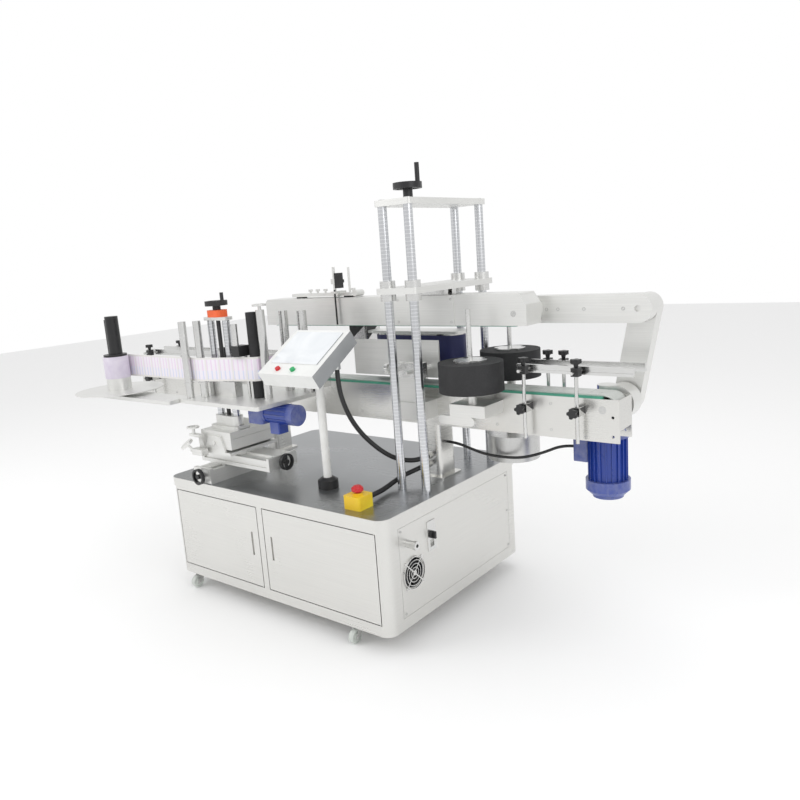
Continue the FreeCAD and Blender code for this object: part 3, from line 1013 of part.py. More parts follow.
def reel():
    z0 = ARM_PLATE_Z + ARM_PLATE_T
    disc = rod_z(REEL_X, REEL_Y, 800, 803, REEL_R)
    foot = rod_z(REEL_X, REEL_Y, z0 + FIT, 800, 40)
    foot = foot.fuse(rod_z(REEL_X, REEL_Y, ARM_PLATE_Z + 1, z0 + FIT, STUB_R))
    hub = rod_z(REEL_X, REEL_Y, 803, LABEL_BOTTOM, ROLL_R - 2)
    mandrel = rod_z(REEL_X, REEL_Y, LABEL_BOTTOM, LABEL_BOTTOM + LABEL_H, CORE_R)
    top = LABEL_BOTTOM + LABEL_H
    cap = rod_z(REEL_X, REEL_Y, top, top + 8, ROLL_R - 4)
    grip = rod_z(REEL_X + 8, REEL_Y, top + 8, 1106, 26)
    bar = box(REEL_X - 34, REEL_X - 24, REEL_Y - 10, REEL_Y + 10, top + 8, 1092)
    roll = tube_z(REEL_X, REEL_Y, LABEL_BOTTOM + FIT, top - FIT, ROLL_R, CORE_R + 0.1)
    save("label_reel", disc, foot, hub, mandrel, cap, grip, bar, roll)


def web():
    """The label strip, from the roll round the guide rollers and the traction roller to the peel blade."""
    gap = FIT + WEB_T
    side = TRACTION_R + gap
    turn = 9.6
    path = [(REEL_X, REEL_Y + ROLL_R + FIT), (FRONT_ROLLER[0], FRONT_ROLLER[1] + ROLLER_R + FIT),
            (REAR_ROLLER[0] + 4, REAR_ROLLER[1] - ROLLER_R - gap - FIT), (TRACTION[0] + turn, TRACTION[1] - side),
            (TRACTION[0] + side, TRACTION[1] - turn), (TRACTION[0] + side, POST_1[1] + 6), (60.5, 84)]
    save("label_web", strip(path, WEB_T, LABEL_BOTTOM, LABEL_BOTTOM + LABEL_H))


LABEL_MOTOR_X1 = 160.0


def label_motor():
    x, y = TRACTION
    z1 = ARM_PLATE_Z
    gear = slab(x - 40, x + 40, y - 38, y + 38, z1 - 78, z1, 10)
    gear = gear.cut(rod_z(x, y, z1 - 60, z1 + 1, STUB_R + SHAFT_FIT))
    body = rod_x(x + 40, LABEL_MOTOR_X1 - 30, y, z1 - 39, 36)
    fins = []
    for i in range(14):
        fin = box(x + 52, LABEL_MOTOR_X1 - 34, y - 1.2, y + 1.2, z1 - 39 + 30, z1 - 39 + 38.5)
        fins.append(turned(fin, (0, y, z1 - 39), (1, 0, 0), 360.0 / 14 * i + 12))
    flange = rod_x(x + 40, x + 50, y, z1 - 39, 38.5)
    cowl = rod_x(LABEL_MOTOR_X1 - 32, LABEL_MOTOR_X1, y, z1 - 39, 38.5)
    box_under = slab(x + 62, x + 112, y - 24, y + 24, z1 - 112, z1 - 66, 5)
    body = body.fuse(fins + [flange, cowl, box_under])
    save("label_motor", gear, body)


# ---------------------------------------------------------------- cables held by the machine
CABLE_R = 5.0
CONDUIT_R = 9.0


def cables():
    motor_lead = [(LEG_X[1] + LEG_W / 2, CONV_Y, 592), (596, CONV_Y, 592), (645, CONV_Y + 18, 570),
                  (700, 190, 552), (770, 196, 548), (840, 202, 552), (906, 222, 572),
                  (970, MOTOR_Y, 600), (MOTOR_X - MOTOR_R - 42, MOTOR_Y, 600)]
    leg_face = NEAR_SIDE - LEG_GLAND_T
    console_conduit = [GLAND, (GLAND[0], GLAND[1], 845), (354, -158, 786), (366, -140, 726), (382, -112, 672),
                       (404, -80, 626), (432, -50, 588), (464, -24, 564), (492, 10, 552),
                       (LEG_GLANDS[0][0], 54, LEG_GLANDS[0][1]), (LEG_GLANDS[0][0], leg_face, LEG_GLANDS[0][1])]
    stop_conduit = [(STOP_X, STOP_Y + STOP_HALF, 484), (STOP_X, -182, 484), (475, -138, 481), (468, -94, 482),
                    (465, -50, 488), (472, -8, 499), (490, 26, 508), (LEG_GLANDS[1][0], 62, LEG_GLANDS[1][1]),
                    (LEG_GLANDS[1][0], leg_face, LEG_GLANDS[1][1])]
    save("motor_lead", tube_route(motor_lead, CABLE_R))
    save("console_conduit", tube_route(console_conduit, CONDUIT_R))
    save("stop_conduit", tube_route(stop_conduit, CONDUIT_R))


def main():
    os.makedirs("parts", exist_ok=True)
    for build in (cabinet, table, doors, panel_fittings, casters, conveyor, chain, drive, rails,
                  portal, carriage, beam, linkage, sensor_bracket, separator, wrap_station, console,
                  slides, saddle, mast, head_plate, rollers, reel, web, label_motor, cables):
        build()


main()
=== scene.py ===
import math

import bmesh
import bpy
from bpy.props import FloatProperty, FloatVectorProperty, PointerProperty
from mathutils import Euler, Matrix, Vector


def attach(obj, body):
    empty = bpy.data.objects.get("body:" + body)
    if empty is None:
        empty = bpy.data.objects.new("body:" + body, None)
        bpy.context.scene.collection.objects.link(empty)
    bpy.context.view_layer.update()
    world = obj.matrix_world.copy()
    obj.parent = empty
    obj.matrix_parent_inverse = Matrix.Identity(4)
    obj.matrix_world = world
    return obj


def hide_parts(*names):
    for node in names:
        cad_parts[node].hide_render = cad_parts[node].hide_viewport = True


bl_info = {
    "name": "Bottle labelling machine",
    "version": (1, 0, 0),
    "blender": (4, 5, 0),
    "location": "View3D > Sidebar > Labeller",
    "description": "Finishes, fasteners, cables and a studio for a bottle labelling machine",
    "category": "Object",
}

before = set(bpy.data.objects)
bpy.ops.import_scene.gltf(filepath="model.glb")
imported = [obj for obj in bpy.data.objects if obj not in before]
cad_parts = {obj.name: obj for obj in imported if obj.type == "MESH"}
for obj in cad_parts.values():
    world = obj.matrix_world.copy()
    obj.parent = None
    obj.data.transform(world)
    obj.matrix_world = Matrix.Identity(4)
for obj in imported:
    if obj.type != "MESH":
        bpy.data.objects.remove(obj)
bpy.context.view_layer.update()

# lengths in metres, unless a name or a note says otherwise
NOISE_RANGE = (0.3, 0.7)
ROD_RING_PITCH = 0.012
WEAVE_PITCH = 0.0022
LABEL_PITCH, LABEL_BASE, LABEL_HEIGHT, LABEL_BANDS = 0.058, 0.852, 0.09, 3
REEL_CENTRE = (-0.757, -0.325)
ROLL_LAYER = 0.0012

SCREW_SIDES, RECESS_SHARE, RECESS_DEPTH = 18, 0.58, 0.6
CABLE_SIDES, STEPS_PER_RIB, RIB_DIP = 20, 4, 0.14

FLOOR_HALF, FLOOR_GREY = 12.0, 0.97
AMBIENT, BACKDROP = 0.86, 1.0
LAMPS = (  # name, place, what it points at, size, power in watts
    ("key", (-2.2, -3.2, 3.6), (0, 0, 0.7), 2.4, 48),
    ("fill", (3.6, -1.2, 2.4), (0, 0, 0.6), 2.0, 20),
    ("top", (0.3, 0.8, 4.2), (0, 0, 0.8), 3.0, 22),
)
CAMERA_LENS, CAMERA_SENSOR = 33.073, 36.0  # mm
CAMERA_PLACE = (2.06041, -1.96353, 1.27359)
CAMERA_TURN = (78.75065, 4.03702, 38.07739)  # degrees


# ---------------------------------------------------------------- settings
class LabellerSizes(bpy.types.PropertyGroup):
    screw_radius: FloatProperty(name="Screw head radius",
                                description="Radius of the socket screws on plates and covers",
                                default=0.0045, min=0.001, unit="LENGTH")
    screw_height: FloatProperty(name="Screw head height", description="How far a screw head stands proud",
                                default=0.0022, min=0.0005, unit="LENGTH")
    conduit_pitch: FloatProperty(name="Conduit pitch",
                                 description="Distance between the ribs of the corrugated conduit",
                                 default=0.006, min=0.002, unit="LENGTH")


class LabellerColours(bpy.types.PropertyGroup):
    stainless: FloatVectorProperty(name="Stainless sheet",
                                   description="Brushed sheet of the cabinet and conveyor",
                                   subtype="COLOR", default=(0.74, 0.735, 0.71), min=0, max=1)
    table: FloatVectorProperty(name="Table sheet", description="Darker brushed sheet of the table top",
                               subtype="COLOR", default=(0.36, 0.37, 0.38), min=0, max=1)
    aluminium: FloatVectorProperty(name="Aluminium", description="Milled and anodised plates",
                                   subtype="COLOR", default=(0.80, 0.80, 0.78), min=0, max=1)
    motor_blue: FloatVectorProperty(name="Motor blue", description="Enamel of the motors",
                                    subtype="COLOR", default=(0.012, 0.045, 0.30), min=0, max=1)
    belt_green: FloatVectorProperty(name="Belt green", description="Pressing belt and wear strips",
                                    subtype="COLOR", default=(0.05, 0.30, 0.20), min=0, max=1)


def sizes():
    return bpy.context.scene.labeller_sizes


def colours():
    return bpy.context.scene.labeller_colours


# ---------------------------------------------------------------- node helpers
def link(tree, a, b):
    tree.links.new(a, b)


def add(tree, kind, **values):
    node = tree.nodes.new(kind)
    for key, value in values.items():
        setattr(node, key, value)
    return node


def math_node(tree, operation, a, b=None):
    node = add(tree, "ShaderNodeMath", operation=operation)
    for socket, value in zip(node.inputs, (a, b)):
        if value is None:
            continue
        if isinstance(value, (int, float)):
            socket.default_value = value
        else:
            link(tree, value, socket)
    return node.outputs[0]


def mix_colour(tree, factor, a, b, blend="MIX"):
    node = add(tree, "ShaderNodeMix", data_type="RGBA", blend_type=blend)
    for socket, value in ((node.inputs[0], factor), (node.inputs[6], a), (node.inputs[7], b)):
        if isinstance(value, (int, float)):
            socket.default_value = value
        elif isinstance(value, tuple):
            socket.default_value = (*value[:3], 1.0)
        else:
            link(tree, value, socket)
    return node.outputs[2]


def group_tree(name, inputs, outputs):
    tree = bpy.data.node_groups.new(name, "ShaderNodeTree")
    for label, kind, value in inputs:
        socket = tree.interface.new_socket(label, in_out="INPUT", socket_type=kind)
        if value is not None:
            socket.default_value = value
    for label, kind in outputs:
        tree.interface.new_socket(label, in_out="OUTPUT", socket_type=kind)
    return tree, add(tree, "NodeGroupInput"), add(tree, "NodeGroupOutput")


def grain_group():
    """Fine lines along one axis, with broad soft stains: the look of brushed sheet."""
    if "Brushed grain" in bpy.data.node_groups:
        return bpy.data.node_groups["Brushed grain"]
    tree, source, result = group_tree(
        "Brushed grain",
        [("Stretch", "NodeSocketVector", (4.0, 900.0, 900.0)), ("Stain size", "NodeSocketFloat", 3.0)],
        [("Lines", "NodeSocketFloat"), ("Stains", "NodeSocketFloat")])
    place = add(tree, "ShaderNodeTexCoord")
    scaled = add(tree, "ShaderNodeVectorMath", operation="MULTIPLY")
    link(tree, place.outputs["Object"], scaled.inputs[0])
    link(tree, source.outputs["Stretch"], scaled.inputs[1])
    lines = add(tree, "ShaderNodeTexNoise")
    lines.inputs["Scale"].default_value = 1.0
    lines.inputs["Detail"].default_value = 3.0
    link(tree, scaled.outputs[0], lines.inputs["Vector"])
    stains = add(tree, "ShaderNodeTexNoise")
    stains.inputs["Detail"].default_value = 4.0
    stains.inputs["Distortion"].default_value = 0.6
    link(tree, place.outputs["Object"], stains.inputs["Vector"])
    link(tree, source.outputs["Stain size"], stains.inputs["Scale"])
    link(tree, lines.outputs["Fac"], result.inputs["Lines"])
    link(tree, stains.outputs["Fac"], result.inputs["Stains"])
    return tree


def wear_group():
    """A mask of the sharp edges of a piece, broken up by noise, for rubbed paint and handled plastic."""
    if "Rubbed edges" in bpy.data.node_groups:
        return bpy.data.node_groups["Rubbed edges"]
    tree, source, result = group_tree(
        "Rubbed edges", [("Amount", "NodeSocketFloat", 0.5)], [("Mask", "NodeSocketFloat")])
    shape = add(tree, "ShaderNodeNewGeometry")
    place = add(tree, "ShaderNodeTexCoord")
    noise = add(tree, "ShaderNodeTexNoise")
    noise.inputs["Scale"].default_value = 60.0
    noise.inputs["Detail"].default_value = 5.0
    link(tree, place.outputs["Object"], noise.inputs["Vector"])
    edge = add(tree, "ShaderNodeMapRange")
    edge.inputs["From Min"].default_value = 0.52
    edge.inputs["From Max"].default_value = 0.62
    link(tree, shape.outputs["Pointiness"], edge.inputs["Value"])
    broken = math_node(tree, "MULTIPLY", edge.outputs["Result"], noise.outputs["Fac"])
    mask = math_node(tree, "MULTIPLY", broken, source.outputs["Amount"])
    link(tree, mask, result.inputs["Mask"])
    return tree


def use_group(tree, group, **values):
    node = add(tree, "ShaderNodeGroup")
    node.node_tree = group
    for key, value in values.items():
        node.inputs[key.replace("_", " ")].default_value = value
    return node


def new_material(name):
    mat = bpy.data.materials.new(name)
    mat.use_nodes = True
    shader = mat.node_tree.nodes["Principled BSDF"]
    return mat, mat.node_tree, shader


def bump(tree, shader, height, strength, distance=0.0004):
    node = add(tree, "ShaderNodeBump")
    node.inputs["Strength"].default_value = strength
    node.inputs["Distance"].default_value = distance
    link(tree, height, node.inputs["Height"])
    link(tree, node.outputs[0], shader.inputs["Normal"])


def remap(tree, value, low, high, start=0.0, end=1.0):
    node = add(tree, "ShaderNodeMapRange")
    node.inputs["From Min"].default_value = start
    node.inputs["From Max"].default_value = end
    node.inputs["To Min"].default_value = low
    node.inputs["To Max"].default_value = high
    link(tree, value, node.inputs["Value"])
    return node.outputs["Result"]


def spread(tree, value, low, high):
    """Map the range that noise really fills onto low and high."""
    return remap(tree, value, low, high, *NOISE_RANGE)


def ripple(tree, value, pitch):
    return math_node(tree, "SINE", math_node(tree, "MULTIPLY", value, 2 * math.pi / pitch))


def inside(tree, value, margin):
    """1 where a value from 0 to 1 is further than the margin from both ends."""
    return math_node(tree, "MULTIPLY", math_node(tree, "GREATER_THAN", value, margin),
                     math_node(tree, "LESS_THAN", value, 1 - margin))


def brushed_metal(name, colour, stretch, roughness=0.34, stain_size=3.0, contrast=0.10, metallic=0.85):
    """Metal sheet or plate with a grain along the axis whose stretch is smallest."""
    mat, tree, shader = new_material(name)
    grain = use_group(tree, grain_group(), Stretch=stretch, Stain_size=stain_size)
    shade = math_node(tree, "ADD", spread(tree, grain.outputs["Lines"], -contrast, contrast),
                      spread(tree, grain.outputs["Stains"], -contrast * 0.6, contrast * 0.8))
    bright = mix_colour(tree, math_node(tree, "ADD", shade, 0.5), tuple(c * 0.72 for c in colour),
                        tuple(min(1.0, c * 1.22) for c in colour))
    link(tree, bright, shader.inputs["Base Color"])
    rough = math_node(tree, "ADD", spread(tree, grain.outputs["Stains"], roughness - 0.06, roughness + 0.08),
                      remap(tree, grain.outputs["Lines"], -0.05, 0.05))
    link(tree, rough, shader.inputs["Roughness"])
    shader.inputs["Metallic"].default_value = metallic
    bump(tree, shader, grain.outputs["Lines"], 0.10, 0.0002)
    return mat


def enamel(name, colour, roughness=0.3, rubbed=(0.45, 0.45, 0.46), amount=0.5):
    """Sprayed enamel with a faint orange peel and rubbed edges."""
    mat, tree, shader = new_material(name)
    wear = use_group(tree, wear_group(), Amount=amount)
    grain = use_group(tree, grain_group(), Stretch=(220.0, 220.0, 220.0), Stain_size=6.0)
    base = mix_colour(tree, remap(tree, grain.outputs["Stains"], 0.0, 0.5, 0.35, 0.75), colour,
                      tuple(min(1.0, c * 1.35 + 0.01) for c in colour))
    link(tree, mix_colour(tree, wear.outputs["Mask"], base, rubbed), shader.inputs["Base Color"])
    rough = spread(tree, grain.outputs["Stains"], roughness - 0.05, roughness + 0.12)
    link(tree, rough, shader.inputs["Roughness"])
    shader.inputs["Coat Weight"].default_value = 0.25
    bump(tree, shader, grain.outputs["Lines"], 0.06, 0.0003)
    return mat


def moulded_plastic(name, colour, roughness=0.42, grain_scale=700.0, strength=0.12):
    """Moulded plastic or rubber with a fine texture and dusty patches."""
    mat, tree, shader = new_material(name)
    grain = use_group(tree, grain_group(), Stretch=(grain_scale,) * 3, Stain_size=9.0)
    light = tuple(min(1.0, c * 1.5 + 0.02) for c in colour)
    link(tree, mix_colour(tree, remap(tree, grain.outputs["Stains"], 0.0, 0.8, 0.4, 0.75), colour, light),
         shader.inputs["Base Color"])
    rough = spread(tree, grain.outputs["Stains"], roughness - 0.06, roughness + 0.12)
    link(tree, rough, shader.inputs["Roughness"])
    bump(tree, shader, grain.outputs["Lines"], strength, 0.0003)
    return mat


def polished_rod(name):
    """Hard chrome with fine ground rings across the length of an upright rod."""
    mat, tree, shader = new_material(name)
    place = add(tree, "ShaderNodeTexCoord")
    split = add(tree, "ShaderNodeSeparateXYZ")
    link(tree, place.outputs["Object"], split.inputs[0])
    wave = ripple(tree, split.outputs["Z"], ROD_RING_PITCH)
    rings = remap(tree, wave, 0.0, 0.6, 0.6, 1.0)
    grain = use_group(tree, grain_group(), Stretch=(60.0, 60.0, 900.0), Stain_size=8.0)
    base = mix_colour(tree, rings, (0.62, 0.63, 0.65), (0.86, 0.87, 0.88))
    link(tree, base, shader.inputs["Base Color"])
    link(tree, spread(tree, grain.outputs["Stains"], 0.14, 0.30), shader.inputs["Roughness"])
    shader.inputs["Metallic"].default_value = 1.0
    bump(tree, shader, wave, 0.02, 0.0002)
    return mat


def slat_plastic(name):
    """Grey acetal slats: fine parallel scratches along the run."""
    mat, tree, shader = new_material(name)
    grain = use_group(tree, grain_group(), Stretch=(14.0, 700.0, 300.0), Stain_size=5.0)
    base = mix_colour(tree, spread(tree, grain.outputs["Lines"], 0.0, 1.0),
                      (0.50, 0.52, 0.50), (0.68, 0.70, 0.67))
    link(tree, base, shader.inputs["Base Color"])
    link(tree, spread(tree, grain.outputs["Stains"], 0.32, 0.5), shader.inputs["Roughness"])
    bump(tree, shader, grain.outputs["Lines"], 0.10, 0.0002)
    return mat


def belt_cloth(name, colour):
    """A woven belt: a fine weave on both faces and a faint sheen."""
    mat, tree, shader = new_material(name)
    place = add(tree, "ShaderNodeTexCoord")
    split = add(tree, "ShaderNodeSeparateXYZ")
    link(tree, place.outputs["Object"], split.inputs[0])
    along = ripple(tree, split.outputs["X"], WEAVE_PITCH)
    across = ripple(tree, math_node(tree, "ADD", split.outputs["Y"], split.outputs["Z"]), WEAVE_PITCH)
    weave = math_node(tree, "MULTIPLY", along, across)
    grain = use_group(tree, grain_group(), Stretch=(90.0, 90.0, 90.0), Stain_size=7.0)
    dark = tuple(c * 0.7 for c in colour)
    light = tuple(min(1.0, c * 1.35 + 0.01) for c in colour)
    tone = math_node(tree, "ADD", remap(tree, weave, 0.0, 0.35, -1.0, 1.0),
                     spread(tree, grain.outputs["Stains"], 0.0, 0.6))
    link(tree, mix_colour(tree, tone, dark, light), shader.inputs["Base Color"])
    shader.inputs["Roughness"].default_value = 0.5
    shader.inputs["Sheen Weight"].default_value = 0.2
    bump(tree, shader, weave, 0.15, 0.0002)
    return mat


def foam_rubber(name):
    """Closed-cell foam: small pits and a dull surface."""
    mat, tree, shader = new_material(name)
    place = add(tree, "ShaderNodeTexCoord")
    cells = add(tree, "ShaderNodeTexVoronoi")
    cells.inputs["Scale"].default_value = 420.0
    link(tree, place.outputs["Object"], cells.inputs["Vector"])
    grain = use_group(tree, grain_group(), Stretch=(50.0, 50.0, 50.0), Stain_size=10.0)
    tone = math_node(tree, "ADD", remap(tree, cells.outputs["Distance"], 0.0, 0.5),
                     spread(tree, grain.outputs["Stains"], 0.0, 0.5))
    base = mix_colour(tree, tone, (0.010, 0.010, 0.011), (0.038, 0.038, 0.040))
    link(tree, base, shader.inputs["Base Color"])
    shader.inputs["Roughness"].default_value = 0.78
    bump(tree, shader, cells.outputs["Distance"], 0.4, 0.0008)
    return mat


def label_print(name):
    """A strip of blank labels: pastel bands in a row of frames on pale backing paper."""
    mat, tree, shader = new_material(name)
    place = add(tree, "ShaderNodeTexCoord")
    split = add(tree, "ShaderNodeSeparateXYZ")
    link(tree, place.outputs["Object"], split.inputs[0])
    along = math_node(tree, "FRACT", math_node(tree, "DIVIDE", split.outputs["X"], LABEL_PITCH))
    above = math_node(tree, "SUBTRACT", split.outputs["Z"], LABEL_BASE)
    height = math_node(tree, "FRACT", math_node(tree, "DIVIDE", above, LABEL_HEIGHT))
    label = math_node(tree, "MULTIPLY", inside(tree, along, 0.06), inside(tree, height, 0.08))
    bands = ripple(tree, along, 1 / LABEL_BANDS)
    stripes = math_node(tree, "GREATER_THAN", bands, 0.55)
    low = math_node(tree, "LESS_THAN", height, 0.45)
    pastel = mix_colour(tree, low, (0.80, 0.62, 0.80), (0.62, 0.66, 0.86))
    face = mix_colour(tree, math_node(tree, "MULTIPLY", stripes, 0.75), (0.86, 0.82, 0.88), pastel)
    grain = use_group(tree, grain_group(), Stretch=(300.0, 300.0, 300.0), Stain_size=12.0)
    paper = mix_colour(tree, label, (0.78, 0.76, 0.74), face)
    base = mix_colour(tree, spread(tree, grain.outputs["Stains"], 0.0, 0.18), paper, (0.70, 0.70, 0.72))
    link(tree, base, shader.inputs["Base Color"])
    shader.inputs["Roughness"].default_value = 0.38
    bump(tree, shader, grain.outputs["Lines"], 0.05, 0.0002)
    return mat


def paper_roll(name):
    """The wound edge of a paper roll: fine concentric layers seen from above."""
    mat, tree, shader = new_material(name)
    place = add(tree, "ShaderNodeTexCoord")
    centre = add(tree, "ShaderNodeMapping")
    centre.inputs["Location"].default_value = (-REEL_CENTRE[0], -REEL_CENTRE[1], 0.0)
    link(tree, place.outputs["Object"], centre.inputs["Vector"])
    split = add(tree, "ShaderNodeSeparateXYZ")
    link(tree, centre.outputs["Vector"], split.inputs[0])
    x_squared = math_node(tree, "MULTIPLY", split.outputs["X"], split.outputs["X"])
    y_squared = math_node(tree, "MULTIPLY", split.outputs["Y"], split.outputs["Y"])
    radius = math_node(tree, "SQRT", math_node(tree, "ADD", x_squared, y_squared))
    layers = ripple(tree, radius, ROLL_LAYER)
    grain = use_group(tree, grain_group(), Stretch=(60.0, 60.0, 500.0), Stain_size=20.0)
    tone = math_node(tree, "ADD", remap(tree, layers, 0.0, 0.5, -1.0, 1.0),
                     spread(tree, grain.outputs["Stains"], 0.0, 0.5))
    link(tree, mix_colour(tree, tone, (0.62, 0.56, 0.68), (0.86, 0.82, 0.88)), shader.inputs["Base Color"])
    shader.inputs["Roughness"].default_value = 0.5
    bump(tree, shader, grain.outputs["Lines"], 0.08, 0.0002)
    return mat


def screen_glass(name):
    """A blank pale display under a satin protective film."""
    mat, tree, shader = new_material(name)
    grain = use_group(tree, grain_group(), Stretch=(12.0, 400.0, 400.0), Stain_size=9.0)
    base = mix_colour(tree, spread(tree, grain.outputs["Stains"], 0.0, 1.0),
                      (0.74, 0.77, 0.80), (0.86, 0.88, 0.90))
    link(tree, base, shader.inputs["Base Color"])
    link(tree, spread(tree, grain.outputs["Stains"], 0.10, 0.22), shader.inputs["Roughness"])
    shader.inputs["Coat Weight"].default_value = 0.6
    return mat


MATERIALS = {}


def finish_library():
    c = colours()
    steel, table, alu = tuple(c.stainless), tuple(c.table), tuple(c.aluminium)
    library = {
        "sheet_x": brushed_metal("Stainless sheet along X", steel,
                                  (5.0, 900.0, 900.0), 0.30, 2.2, 0.06, 0.95),
        "sheet_y": brushed_metal("Stainless sheet along Y", steel,
                                  (900.0, 5.0, 900.0), 0.30, 2.2, 0.06, 0.95),
        "table": brushed_metal("Brushed table sheet", table, (5.0, 900.0, 900.0), 0.30, 2.6, 0.10, 0.9),
        "alu_x": brushed_metal("Aluminium along X", alu, (6.0, 700.0, 700.0), 0.38, 4.0, 0.08, 0.75),
        "alu_y": brushed_metal("Aluminium along Y", alu, (700.0, 6.0, 700.0), 0.38, 4.0, 0.08, 0.75),
        "machined": brushed_metal("Machined steel", (0.62, 0.62, 0.61),
                                  (300.0, 40.0, 300.0), 0.30, 8.0, 0.12, 0.9),
        "bright": brushed_metal("Bright turned steel", (0.72, 0.72, 0.71),
                                  (60.0, 60.0, 900.0), 0.22, 6.0, 0.10, 1.0),
        "chrome": polished_rod("Hard chrome rod"),
        "slats": slat_plastic("Acetal slats"),
        "rail": moulded_plastic("White rail plastic", (0.80, 0.80, 0.77), 0.4, 500.0, 0.06),
        "black": moulded_plastic("Black moulded plastic", (0.012, 0.012, 0.013), 0.36, 800.0, 0.14),
        "hose": moulded_plastic("Black hose", (0.010, 0.010, 0.011), 0.34, 300.0, 0.06),
        "grey_tread": moulded_plastic("Caster tread", (0.55, 0.58, 0.55), 0.5, 400.0, 0.08),
        "foam": foam_rubber("Closed-cell foam"),
        "green": belt_cloth("Green belt", tuple(c.belt_green)),
        "blue_belt": belt_cloth("Dark blue belt", (0.012, 0.016, 0.10)),
        "motor": enamel("Motor enamel", tuple(c.motor_blue), 0.26),
        "console": enamel("Console enamel", (0.78, 0.79, 0.77), 0.34, (0.6, 0.6, 0.6), 0.2),
        # the console's sides and back: its white enamel painted dark grey, as painted shade
        "console_shaded_side": enamel("Console painted-shade enamel", (0.30, 0.31, 0.32), 0.36, (0.5, 0.5, 0.5), 0.3),
        "screen": screen_glass("Display film"),
        "yellow": moulded_plastic("Yellow plastic", (0.85, 0.55, 0.02), 0.38, 500.0, 0.08),
        "red": moulded_plastic("Red plastic", (0.55, 0.015, 0.02), 0.28, 500.0, 0.05),
        "green_cap": moulded_plastic("Green plastic", (0.01, 0.32, 0.10), 0.28, 500.0, 0.05),
        "orange": moulded_plastic("Orange plastic", (0.70, 0.10, 0.02), 0.38, 500.0, 0.06),
        "labels": label_print("Blank label strip"),
        "roll": paper_roll("Wound label roll"),
    }
    MATERIALS.update(library)


def dress(node, default, *zones):
    """Give a CAD node its finishes: a default, and others for the faces that pass a test."""
    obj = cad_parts[node]
    obj.data.materials.clear()
    names = [default] + [zone[0] for zone in zones]
    for name in names:
        obj.data.materials.append(MATERIALS[name])
    for face in obj.data.polygons:
        slot = 0
        for number, (_, test) in enumerate(zones, 1):
            if test(face.center, face.normal):
                slot = number
        face.material_index = slot


def mm(*values):
    return tuple(v / 1000 for v in values)


FAR = 5000  # mm, past every part of the machine


# ---------------------------------------------------------------- mesh helpers
def piece(name, bm, body, material):
    bmesh.ops.recalc_face_normals(bm, faces=bm.faces)
    mesh = bpy.data.meshes.new(name)
    bm.to_mesh(mesh)
    bm.free()
    mesh.materials.append(MATERIALS[material])
    obj = bpy.data.objects.new(name, mesh)
    bpy.context.collection.objects.link(obj)
    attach(obj, body)
    return obj


def within(x0, x1, y0, y1, z0, z1):
    """A test for faces whose middle lies in this box, in mm."""
    low, high = (x0, y0, z0), (x1, y1, z1)
    return lambda c, n: all(a - 0.1 <= v * 1000 <= b + 0.1 for a, v, b in zip(low, c, high))


def levels(z0, z1):
    return within(-FAR, FAR, -FAR, FAR, z0, z1)


# the console's sloping face: its outward direction, and its distance from the origin at the display
FACE_NORMAL = Vector((0.0, -0.528, 0.849))
FACE_OFFSET = 0.9345


def on_screen(c, n):
    return n.dot(FACE_NORMAL) > 0.9 and c.dot(FACE_NORMAL) > FACE_OFFSET


# the console's sides and back, the faces that are given its painted shade
def off_face(c, n):
    return abs(n.x) > 0.9 or n.dot(FACE_NORMAL) < -0.2


def sideways(c, n):
    return abs(n.x) > 0.7


